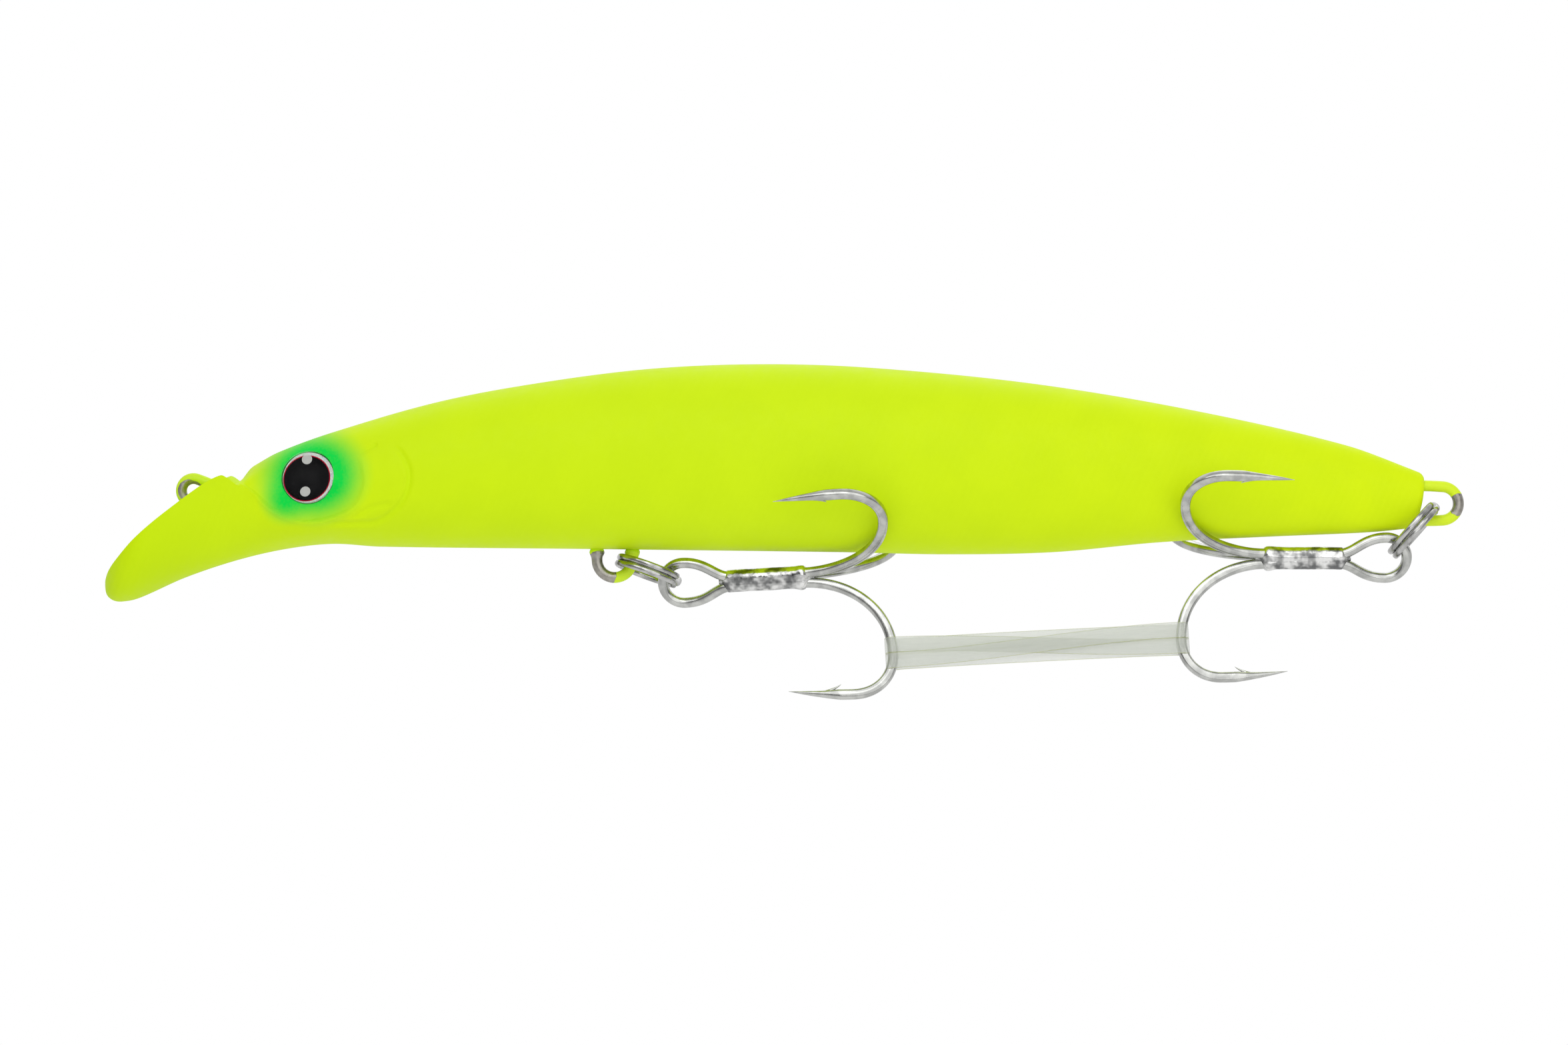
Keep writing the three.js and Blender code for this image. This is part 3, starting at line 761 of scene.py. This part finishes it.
def relief(x, z):
    """Height of the moulded cheek lines above the plain surface."""
    inside, along = from_curve(CHEEK_RIDGE, x, z)
    field = smoothstep(inside, -0.05, 0.3) * smoothstep(x, 4.2, 5.6)
    field *= (1 - smoothstep(z, 0.8, 3.4)) * (1 - smoothstep(along, 0.55, 0.85))
    away = np.hypot(x - EYE_X, (z - EYE_Z) * 1.1)
    field *= 1 - smoothstep(away, 6.2, 8.6)
    bead = np.exp(-((inside + 0.1) / RIDGE_WIDTH) ** 2)
    bead = bead * smoothstep(x, 4.8, 7) * (1 - smoothstep(along, 0.9, 1))
    height = RIDGE_HEIGHT * bead - FIELD_DEPTH * field
    for curve, depth, width in GROOVES:
        gap, along = from_curve(curve, x, z)
        ends = smoothstep(along, 0, 0.15) * (1 - smoothstep(along, 0.85, 1))
        height -= depth * np.exp(-(gap / width) ** 2) * ends
    return height


def outer_half():
    """The fine outside of the right shell, closed by its glue face."""
    nose = np.linspace(2.6, 90, 26)
    tail = np.linspace(0, 90, 9)
    stations = np.concatenate([
        LIP_ROUND_X - (LIP_ROUND_X - NOSE_X) * np.cos(np.radians(nose)),
        np.arange(LIP_ROUND_X + 0.2, HEAD_FROM_X, 0.2),
        np.arange(HEAD_FROM_X, HEAD_TO_X, 0.11),
        np.arange(HEAD_TO_X + 0.1, TAIL_X - TAIL_ROUND - 0.2, 0.6),
        TAIL_X - TAIL_ROUND + TAIL_ROUND * np.sin(np.radians(tail)),
    ])
    inset = np.zeros(len(stations))
    inset[-len(tail):] = TAIL_ROUND * (1 - np.cos(np.radians(tail)))
    grid = half_sections(stations, inset, lower_steps=48, upper_steps=64)
    # Relief goes along the surface's normal, on the head only.
    lengthwise = np.gradient(grid, axis=0)
    around = np.gradient(grid, axis=1)
    normal = unit(np.cross(around, lengthwise))
    head = (stations > HEAD_FROM_X) & (stations < HEAD_TO_X)
    height = relief(grid[head, :, 0], grid[head, :, 2])
    height *= smoothstep(grid[head, :, 1], 0.6, 2.2)
    grid[head] += normal[head] * height[..., None]
    # The tail face leans forward at its foot.
    x, z = grid[..., 0], grid[..., 2]
    lean = TAIL_LEAN * ((back_at(TAIL_X) - z) / (back_at(TAIL_X) - keel_at(TAIL_X))) ** 2
    grid[..., 0] -= lean * smoothstep(x, TAIL_LEAN_FROM_X, TAIL_X)
    # The glue face is just off the centre plane.
    width = grid[..., 1].max(1, keepdims=True)
    grid[..., 1] = SEAM_GAP + grid[..., 1] * (width - SEAM_GAP) / width
    return loft(grid)


WIRE_PATH = spline(
    [
        [7, 0, -1.3], [4.5, 0, -0.65], [1.9, 0, 0.45],
        *arc(0, 0, TIE_LOOP_R, 65, 270, 21),
        [1, 0, -1.2], [5, 0, -2.3], [8, 0, -2.9], [11, 0, WIRE_RUN_Z],
        *arc(HANGER_X - HANGER_R - HANGER_FOOT_R, WIRE_RUN_Z - HANGER_FOOT_R, HANGER_FOOT_R, 90, 0, 8),
        *arc(HANGER_X, HANGER_Z, HANGER_R, 180, 360, 21),
        *arc(HANGER_X + HANGER_R + HANGER_FOOT_R, WIRE_RUN_Z - HANGER_FOOT_R, HANGER_FOOT_R, 180, 90, 8),
        [104, 0, WIRE_RUN_Z], [110, 0, TAIL_LOOP_Z - TAIL_LOOP_R],
        *arc(TAIL_LOOP_X, TAIL_LOOP_Z, TAIL_LOOP_R, -90, 90, 21),
        [106, 0, TAIL_LOOP_Z + TAIL_LOOP_R],
    ],
    0.16,
)


def eye_frame(side):
    """Centre of an eye on the flank, and its directions: outwards, rearwards and up."""
    reach = 0.5
    slope_x = (flank_at(EYE_X + reach, EYE_Z) - flank_at(EYE_X - reach, EYE_Z)) / (2 * reach)
    slope_z = (flank_at(EYE_X, EYE_Z + reach) - flank_at(EYE_X, EYE_Z - reach)) / (2 * reach)
    out = unit([-slope_x, side, -slope_z])
    rearward = unit(np.array([1, 0, 0]) - out[0] * out)
    up = np.cross(rearward, out) * side
    return np.array([EYE_X, side * flank_at(EYE_X, EYE_Z), EYE_Z]), out, rearward, up


def bar(radius, from_x, to_x, z):
    """A round bar along X."""
    ends = [[from_x, 0.01], [from_x, radius], [to_x, radius], [to_x, 0.01]]
    return lathe(ends, 64, centre=(0, 0, z))


def make_shells():
    weight_low, weight_high = cad_box("chin_weight")
    weight_z = cad_centre("chin_weight")[2]
    weight_r = (weight_high[2] - weight_low[2]) / 2
    pocket_from, pocket_to = weight_low[0] - POCKET_CLEARANCE, weight_high[0] + POCKET_CLEARANCE
    channel_z = cad_centre("middle_casting_ball")[2]
    tubes = [
        (CHANNEL_R, CHANNEL_FROM_X, CHANNEL_TO_X, channel_z),
        (weight_r + POCKET_CLEARANCE, pocket_from, pocket_to, weight_z),
    ]
    half_rib = RIB_THICKNESS / 2
    skeleton = [("UNION", box((x - half_rib, -20, -20), (x + half_rib, 20, 20))) for x in RIB_X]
    skeleton += [
        ("UNION", bar(radius + CHANNEL_WALL, from_x - 1, to_x + 1, z)) for radius, from_x, to_x, z in tubes
    ]
    # The ribs and tubes end inside the wall, so they don't touch the outside.
    stations = np.linspace(CAVITY_FROM_X - 1, CAVITY_TO_X + 1, 150)
    skeleton.append(("INTERSECT", whole_body(stations, WALL / 2)))
    ribs = combined(skeleton[0][1], skeleton[1:])
    centre, out, _, _ = eye_frame(1)
    bottom = -SOCKET_DEPTH
    socket = lathe([[bottom, 0.01], [bottom, SOCKET_R], [3, SOCKET_R], [3, 0.01]], 96, centre, out)
    cavity = whole_body(np.linspace(CAVITY_FROM_X, CAVITY_TO_X, 150), WALL)
    cuts = [("DIFFERENCE", cavity), ("UNION", ribs)]
    cuts += [("DIFFERENCE", bar(radius, from_x, to_x, z)) for radius, from_x, to_x, z in tubes]
    cuts.append(("DIFFERENCE", sweep(WIRE_PATH, WIRE_R + WIRE_CLEARANCE, (0, 1, 0), 16)))
    cuts.append(("DIFFERENCE", socket))
    cuts.append(("INTERSECT", box((-20, SEAM_GAP, -30), (130, 20, 30))))
    right = combined(outer_half(), cuts)
    left = mirrored(right)
    piece("right_body_shell", right, PAINT, "lure_body", "right_shell")
    piece("left_body_shell", left, PAINT, "lure_body", "left_shell")


make_shells()

# ---- through-wire ----

# Where the paint is worn off the wire: x, z and reach.
WORN = [(-0.2, -1.2, 0.7), (36.9, -6.6, 1.15), (37.6, -7.7, 0.85), (115.1, -1.3, 1.0)]
TIE_WEAR_TOP, TIE_WEAR_FRONT = 0.9, 1.38  # on the line tie, paint is worn off inside these radii
COLLAR_Z = -5.62  # paint gathers round the hanger's legs where they leave the belly
COLLAR_HEIGHT = 0.32
COLLAR_EXTRA = 0.2
PAINT_UNEVEN = 0.012  # height of the unevenness in the wire's paint


def make_wire():
    x, z = WIRE_PATH[:, 0], WIRE_PATH[:, 2]
    at_hanger = np.abs(x - HANGER_X) < HANGER_R + 1
    collar = np.exp(-((z - COLLAR_Z) / COLLAR_HEIGHT) ** 2) * at_hanger
    uneven = PAINT_UNEVEN * ripple(WIRE_PATH, 0.5, 3)
    mesh = sweep(WIRE_PATH, WIRE_R + COLLAR_EXTRA * collar + uneven, (0, 1, 0), 24)
    points = points_of(mesh)
    worn = np.zeros(len(points))
    for at_x, at_z, reach in WORN:
        away = np.hypot(points[:, 0] - at_x, points[:, 2] - at_z)
        worn = np.maximum(worn, 1 - smoothstep(away, reach * 0.7, reach * 1.3))
    reach = np.hypot(points[:, 0], points[:, 2])
    frontward = np.clip(-points[:, 0] / np.maximum(reach, 0.1), 0, 1)
    bare_to = TIE_WEAR_TOP + (TIE_WEAR_FRONT - TIE_WEAR_TOP) * frontward
    worn = np.maximum(worn, 1 - smoothstep(reach, bare_to - 0.15, bare_to + 0.15))
    note(mesh, "worn", worn)
    piece("bent_through_wire", mesh, WIRE, "lure_body", "through_wire")


make_wire()

# ---- eyes ----


def make_eye(side_name, side):
    centre, out, rearward, up = eye_frame(side)
    foil_back = -EYE_DEPTH
    foil_front = foil_back + FOIL_THICKNESS
    steps = np.linspace(EYE_R - 0.06, 0.02, 12)
    foil = lathe(
        [[foil_back, 0.01], [foil_back, EYE_R - 0.05], [foil_back + 0.05, EYE_R], [foil_front - 0.05, EYE_R]]
        + [[foil_front, radius] for radius in steps],
        96, centre, out,
    )
    offset = points_of(foil) - centre
    note(foil, "across", offset @ rearward)
    note(foil, "up", offset @ up)
    piece(side_name + "_printed_foil", foil, EYE_PRINT, "lure_body", side_name + "_eye_foil")

    base = foil_front + 0.02
    bulge = (EYE_R**2 + LENS_DOME**2) / (2 * LENS_DOME)
    angles = np.linspace(math.asin((EYE_R - 0.05) / bulge), 0.004, 22)
    dome = [[base + LENS_EDGE + LENS_DOME - bulge * (1 - math.cos(a)), bulge * math.sin(a)] for a in angles]
    lens = lathe(
        [[base, 0.01], [base, EYE_R - 0.04], [base + 0.04, EYE_R], [base + LENS_EDGE - 0.05, EYE_R], *dome],
        96, centre, out,
    )
    piece(side_name + "_domed_lens", lens, LENS_PLASTIC, "lure_body", side_name + "_eye_lens", 50)


make_eye("left", -1)
make_eye("right", 1)

# ---- ballast ----


def cylinder(node, chamfer, groove_depth=0.0):
    """A chamfered cylinder along X that fills a CAD node's box, with or without a groove."""
    low, high = cad_box(node)
    radius = (high[2] - low[2]) / 2
    middle = (low[0] + high[0]) / 2
    groove = [
        [middle - 0.6, radius], [middle - 0.4, radius - groove_depth],
        [middle + 0.4, radius - groove_depth], [middle + 0.6, radius],
    ]
    outline = [
        [low[0], 0.01], [low[0], radius - chamfer], [low[0] + chamfer, radius],
        *(groove if groove_depth else []),
        [high[0] - chamfer, radius], [high[0], radius - chamfer], [high[0], 0.01],
    ]
    return lathe(outline, 64, (0, 0, cad_centre(node)[2]))


def make_ballast():
    for place in ("front", "middle", "rear"):
        node = place + "_casting_ball"
        low, high = cad_box(node)
        radius = (high[0] - low[0]) / 2
        # A sintered ball has a fine belt where the die halves met.
        turn = np.linspace(0.4, 179.6, 61)
        belt = 1 + 0.008 * np.exp(-((turn - 90) / 3) ** 2)
        outline = [
            [-radius * r * math.cos(math.radians(a)), radius * r * math.sin(math.radians(a))]
            for a, r in zip(turn, belt)
        ]
        ball = lathe(outline, 64, cad_centre(node), (0.3, 0.1, 1))
        piece("tungsten_ball_" + place, ball, TUNGSTEN, "casting_weights", node)

    slug = cylinder("chin_weight", 0.4, groove_depth=0.25)
    piece("chin_ballast_slug", slug, TUNGSTEN, "lure_body", "chin_weight")
    disc = cylinder("weight_magnet", 0.15)
    piece("holding_magnet", disc, MAGNET, "lure_body", "weight_magnet")


make_ballast()

# ---- split rings ----

RING_STEP_DEG = 24  # half of the stretch where one turn crosses over to the other
RING_TIP_DEG = 6  # the rings hang a little tipped, near side up; more meets the rear treble's eye


def make_ring(name, ring, body, node):
    lean = math.radians(ring["lean"])
    along = np.array([math.cos(lean), 0, math.sin(lean)])
    tip = math.radians(RING_TIP_DEG)
    across = math.cos(tip) * np.array([0, 1, 0]) - math.sin(tip) * np.cross(along, (0, 1, 0))
    axis = np.cross(along, across)
    degrees = np.arange(RING_STEP_DEG, 720 - RING_STEP_DEG + 1, 3.0)
    turn = np.radians(degrees)[:, None]
    shift = RING_PITCH * (smoothstep(degrees, 360 - RING_STEP_DEG, 360 + RING_STEP_DEG) - 0.5)
    path = (
        np.array([ring["x"], 0, ring["z"]])
        + RING_MID_R * (np.cos(turn) * along + np.sin(turn) * across)
        + shift[:, None] * axis
    )
    # Each end is cut square with a small bevel.
    radius = np.full(len(path), RING_WIRE_R)
    radius[[0, -1]] *= 0.8
    path[0] += (path[1] - path[0]) * 0.6
    path[-1] += (path[-2] - path[-1]) * 0.6
    mesh = sweep(path, radius, axis, 20, square=2.4)
    piece(name, mesh, RING_STEEL, body, node)


make_ring("belly_ring_coil", FRONT_RING, "front_ring", "front_split_ring")
make_ring("tail_ring_coil", TAIL_RING, "tail_ring", "tail_split_ring")

# ---- treble hooks ----

TAPER_LENGTH, TAPER_POWER = 4.7, 0.85
NEEDLE_R = 0.03
WIRE_UNEVEN = 0.006  # height of the unevenness in the wire
BARB_R, BARB_TIP_R = 0.2, 0.012
FORGED_THIN, FORGED_SQUARE = 0.1, 0.9  # how much thinner and boxier the forged bend is

SOLDER_FROM, SOLDER_TO = -0.4, SHANK_LENGTH + 0.7  # it runs out between the wires at both ends
SOLDER_END_R = 0.3
SOLDER_COAT = 0.04  # thickness over the wires
SOLDER_FILL = 0.72  # how far the hollows between the wires are filled
SOLDER_LUMPS = [(0.04, 0.4, 11), (0.012, 0.16, 12)]  # height, width and seed
BEAD_AT, BEAD_HEIGHT, BEAD_LENGTH, BEAD_TURN = 7.1, 0.14, 0.45, 0.7  # a drop on each wire


def hook_outline():
    """One hook from the shank to its point: [distance along the shank, distance from the axis]."""
    opening = bezier([[SHANK_LENGTH, SHANK_R], [11.6, 0.7], [BEND_X - 0.05, 3.4], [BEND_X, BEND_R]], 44)
    bend = bezier([[BEND_X, BEND_R], [BEND_X, 9.5], [13.8, GAP_R], [11.6, GAP_R]], 36)
    spear = bezier([[11.6, GAP_R], [9.8, GAP_R], [7.6, 10.8], [POINT_X, POINT_R]], 40)
    shank = np.stack([np.linspace(0.6, SHANK_LENGTH, 24), np.full(24, SHANK_R)], -1)
    return np.concatenate([shank[:-1], opening, bend[1:], spear[1:]])


def eye_outline(sideways):
    """Half of the eye, from its far end to the shank: [distance along, distance sideways]."""
    angle = np.linspace(0, math.pi / 2, 20)
    bow = np.stack([EYE_LOOP_X - EYE_LOOP_R * np.cos(angle), EYE_LOOP_R * np.sin(angle)], -1)
    neck = bezier([bow[-1], [-1.4, EYE_LOOP_R], [-0.7, sideways], [0.6, sideways]], 24)
    return np.concatenate([bow, neck[1:-1]])


class Treble:
    """Directions and places of one treble."""

    def __init__(self, x, z, along, rise, roll, yaw):
        rise, yaw = math.radians(rise), math.radians(yaw)
        self.axis = unit([along * math.cos(rise) * math.cos(yaw), -math.sin(yaw), math.sin(rise)])
        self.neck = np.array([x, TREBLE_Y, z])
        up = np.array([0, 0, 1])
        self.upright = unit(up - (up @ self.axis) * self.axis)
        self.level = np.cross(self.axis, self.upright) * along
        self.roll = roll

    def out(self, degrees):
        """Direction away from the axis, from upright towards the lure's left side."""
        angle = np.radians(degrees)
        return np.multiply.outer(np.cos(angle), self.upright) + np.multiply.outer(np.sin(angle), self.level)

    def at(self, outline, degrees):
        """Places of [distance along, distance out] points in one direction."""
        return self.neck + outline[:, :1] * self.axis + outline[:, 1:] * self.out(degrees)


def hook_radius(path, tips):
    """The wire's radius, which tapers to a needle at each tip."""
    near = np.min([np.linalg.norm(path - tip, axis=1) for tip in tips], axis=0)
    return np.maximum(HOOK_WIRE_R * np.minimum(1, near / TAPER_LENGTH) ** TAPER_POWER, NEEDLE_R)


def barb(treble, degrees):
    """A thorn cut up from the inside of the wire, leaning back from the point."""
    outline = np.array([[8.7, 10.8], [9.3, 10.62], [9.8, 10.42], [10.15, 10.24], [10.38, 10.08]])
    path = treble.at(spline(outline, 0.08), degrees)
    share = np.linspace(0, 1, len(path))
    radius = BARB_R * (1 - share) ** 0.8 + BARB_TIP_R
    return sweep(path, radius, treble.out(degrees + 90), 12, thin=1.3)


def hook_mesh(treble, path, tips, across, forged, barbs):
    """A wire with its points and barbs. forged is 1 where it is hammered flat."""
    radius = hook_radius(path, tips) + WIRE_UNEVEN * ripple(path, 0.6, 5)
    radius = np.maximum(radius, NEEDLE_R)
    thin, square = 1 - FORGED_THIN * forged, 2 + FORGED_SQUARE * forged
    mesh = sweep(path, radius, across, 22, thin=thin, square=square)
    return combined(mesh, [("UNION", barb(treble, degrees)) for degrees in barbs])


def make_treble(body, treble):
    roll = treble.roll
    outline = hook_outline()
    # The bend is forged a little flat, and the shank and the point are round.
    forged = smoothstep(outline[:, 0] + outline[:, 1], 9, 13)
    forged *= 1 - smoothstep(-outline[:, 0], -10.5, -8.5) * (outline[:, 1] > 9)
    middle = roll + 60
    sideways, offset = SHANK_R * math.sin(math.pi / 3), SHANK_R * math.cos(math.pi / 3)
    half_eye = eye_outline(sideways)
    lift = offset * smoothstep(half_eye[:, 0], EYE_LOOP_X, 0.6)

    def eye_side(sign):
        return (
            treble.neck + half_eye[:, :1] * treble.axis
            + lift[:, None] * treble.out(middle) + sign * half_eye[:, 1:] * treble.out(middle + 90)
        )

    near, lower, far = (treble.at(outline, roll + turn) for turn in (0, 120, 240))
    double = np.concatenate([near[::-1], eye_side(-1)[::-1], eye_side(1)[1:], lower])
    eye_count = 2 * len(half_eye) - 1
    flat = np.concatenate([forged[::-1], np.zeros(eye_count), forged])
    # The section turns by 30 degrees between each hook's plane and the eye's.
    on_hook = smoothstep(outline[:, 0], 0.6, SHANK_LENGTH) + (outline[:, 1] > 2)
    turn = 30 * np.minimum(on_hook, 1)
    facing = middle + np.concatenate([turn[::-1], np.zeros(eye_count), -turn])
    double_mesh = hook_mesh(
        treble, double, [near[-1], lower[-1]], treble.out(facing), flat, [roll, roll + 120])
    single_mesh = hook_mesh(treble, far, [far[-1]], treble.out(roll + 330), forged, [roll + 240])
    braze = solder(treble, [double_mesh.copy(), single_mesh.copy()])
    piece(body + "_eyed_double", double_mesh, TINNED, body, body + "_double_hook", 40)
    piece(body + "_brazed_single", single_mesh, TINNED, body, body + "_single_hook", 40)
    piece(body + "_solder", braze, SOLDER, body, body + "_braze", 50)


def solder(treble, wires):
    """Solder that fills between the three wires of the shank and coats them in lumps."""
    distance = np.linspace(SOLDER_FROM, SOLDER_TO, 110)[:, None]
    degrees = np.linspace(0, 360, 72, endpoint=False)[None]
    off = np.radians((degrees - treble.roll + 60) % 120 - 60)
    coat = HOOK_WIRE_R + SOLDER_COAT
    around = SHANK_R * np.cos(off) + np.sqrt(coat**2 - (SHANK_R * np.sin(off)) ** 2)
    filled = around + SOLDER_FILL * (SHANK_R + coat - around)
    spoke = treble.out(degrees[0])[None]
    core = treble.neck + distance[..., None] * treble.axis
    places = core + filled[..., None] * spoke
    lumps = sum(height * ripple(places, width, seed) for height, width, seed in SOLDER_LUMPS)
    bead = BEAD_HEIGHT * np.exp(-(((distance - BEAD_AT) / BEAD_LENGTH) ** 2) - ((off / BEAD_TURN) ** 2))
    ends = smoothstep(distance, SOLDER_FROM, 0.5) * (1 - smoothstep(distance, SHANK_LENGTH - 0.3, SOLDER_TO))
    radius = SOLDER_END_R + (filled + lumps + bead - SOLDER_END_R) * ends
    return combined(loft(core + radius[..., None] * spoke), [("DIFFERENCE", wire) for wire in wires])


front_treble = Treble(**FRONT_TREBLE)
rear_treble = Treble(**REAR_TREBLE)
make_treble("front_treble", front_treble)
make_treble("rear_treble", rear_treble)

# ---- hook band ----


def hold_of(treble):
    """Middle of the band's place on the lower hook, and the wire's direction there."""
    degrees = treble.roll + 120
    return treble.at(np.array([[BEND_X, BEND_R]]), degrees)[0], treble.out(degrees)


def strand_section():
    """Outline across a strand with rounded corners: [along its width, through its thickness]."""
    half_w, half_t = STRAND_WIDTH / 2 - STRAND_CORNER, STRAND_THICKNESS / 2 - STRAND_CORNER
    section = []
    for quarter, (sign_w, sign_t) in enumerate(((1, 1), (-1, 1), (-1, -1), (1, -1))):
        for angle in np.radians([0, 30, 60, 90]):
            around = angle + quarter * math.pi / 2
            section.append([
                sign_w * half_w + STRAND_CORNER * math.cos(around),
                sign_t * half_t + STRAND_CORNER * math.sin(around),
            ])
    return np.array(section)


def make_band():
    """One elastic loop round both hooks twice, its near strands crossed, its far ones drawn in."""
    front, front_down = hold_of(front_treble)
    rear, rear_down = hold_of(rear_treble)
    lengthwise = unit(rear - front)
    up = unit(-(front_down + rear_down))
    near = unit(np.cross(lengthwise, up))
    up = np.cross(near, lengthwise)
    reach = HOOK_WIRE_R + BAND_CLEARANCE + STRAND_THICKNESS / 2
    lift = STRAND_WIDTH / 2 + STRAND_HALF_GAP
    bow = np.radians(np.linspace(-90, 90, 15))

    def strand(start, end, side, from_lift, to_lift, apart):
        """A run between the hooks, bowed out from the others in its middle, or in if negative."""
        share = np.linspace(0, 1, 42)[1:-1, None]
        rise = from_lift + (to_lift - from_lift) * smoothstep(share, 0, 1)
        out = side * (reach + apart * np.sqrt(np.sin(math.pi * share)))
        return start + (end - start) * share + out * near + rise * up

    def wrap(hold, end, height):
        """Half a turn round a hook wire, at the end of the band that faces end."""
        out = reach * np.sin(bow)[:, None]
        return hold + end * reach * np.cos(bow)[:, None] * lengthwise + out * near + height * up

    runs = []
    for height, apart in ((lift, CROSSED_STRANDS_OUT), (-lift, -CROSSED_STRANDS_OUT)):
        runs += [
            wrap(front, -1, height)[::-1],
            strand(front, rear, -1, height, height, -FAR_STRANDS_IN),
            wrap(rear, 1, height),
            strand(rear, front, 1, height, -height, apart),
        ]
    path = np.concatenate(runs)
    ahead = unit(np.roll(path, -1, axis=0) - np.roll(path, 1, axis=0))
    wide = unit(up - (ahead @ up)[:, None] * ahead)
    thick = np.cross(ahead, wide)
    section = strand_section()
    rings = path[:, None] + section[:, :1] * wide[:, None] + section[:, 1:] * thick[:, None]
    mesh = loft(rings, looped=True)
    travelled = np.concatenate([[0], np.cumsum(np.linalg.norm(np.diff(path, axis=0), axis=1))])
    note(mesh, "along", np.repeat(travelled, len(section)))
    note(mesh, "across", np.tile(section[:, 0] / STRAND_WIDTH + 0.5, len(path)))
    band = piece("doubled_hook_band", mesh, BAND_FILM, "band", "hook_band", 50)
    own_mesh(band)


make_band()

# ---- studio ----


def make_floor():
    """A pale, softly glowing light table well below the lure."""
    look = Look("studio_floor")
    material = look.finish(
        Base_Color=(0.8, 0.8, 0.8, 1),
        Roughness=look.spread(look.noise(0.01), 0.3, 0.7, 0.65, 0.8),
        Emission_Color=(1, 1, 1, 1),
        Emission_Strength=0.12,
    )
    half, z = FLOOR_HALF, cad_low[2] - FLOOR_DROP * MM
    corners = [(-half, -half, z), (half, -half, z), (half, half, z), (-half, half, z)]
    mesh = bpy.data.meshes.new("floor")
    mesh.from_pydata(corners, [], [(0, 1, 2, 3)])
    mesh.materials.append(material)
    floor = bpy.data.objects.new("studio_floor", mesh)
    bpy.context.scene.collection.objects.link(floor)


def make_world():
    """White to the eye; to the surfaces a bright sweep behind and a dim room in front."""
    world = bpy.data.worlds.new("studio")
    room = Graph(world)
    direction = room.node("SeparateXYZ", {0: room.node("TexCoord").outputs["Generated"]})
    behind = room.spread(direction.outputs[1], -0.4, 0.6, 0.2, 0.75)
    above = room.spread(direction.outputs[2], -0.1, 0.9, 0.0, 0.35)
    seen = room.node("LightPath").outputs["Is Camera Ray"]
    strength = room.blend(seen, room.math("ADD", behind, above), 1.0)
    background = room.node("Background", {"Color": (1, 1, 1, 1), "Strength": strength})
    room.end("OutputWorld", background.outputs[0])
    bpy.context.scene.world = world


def make_light(name, direction, distance, size, power):
    """A soft round light that faces the middle of the lure, directions from the lure."""
    data = bpy.data.lights.new(name, "AREA")
    data.shape = "DISK"
    data.size = size
    data.energy = power
    light = bpy.data.objects.new(name, data)
    away = unit(direction)
    light.location = np.array([VIEW_X, 0, VIEW_Z]) * MM + away * distance
    light.rotation_mode = "QUATERNION"
    light.rotation_quaternion = Vector(away).to_track_quat("Z", "Y")
    bpy.context.scene.collection.objects.link(light)


make_floor()
make_world()
make_light("key_light", (-0.3, -0.8, 0.75), 0.9, 0.8, 1.6)
make_light("fill_light", (0.3, -1, 0.35), 1.0, 1.25, 3.8)
make_light("back_light", (0.2, 0.8, 0.9), 1.0, 0.7, 0.7)
bpy.context.scene.view_settings.view_transform = "Standard"
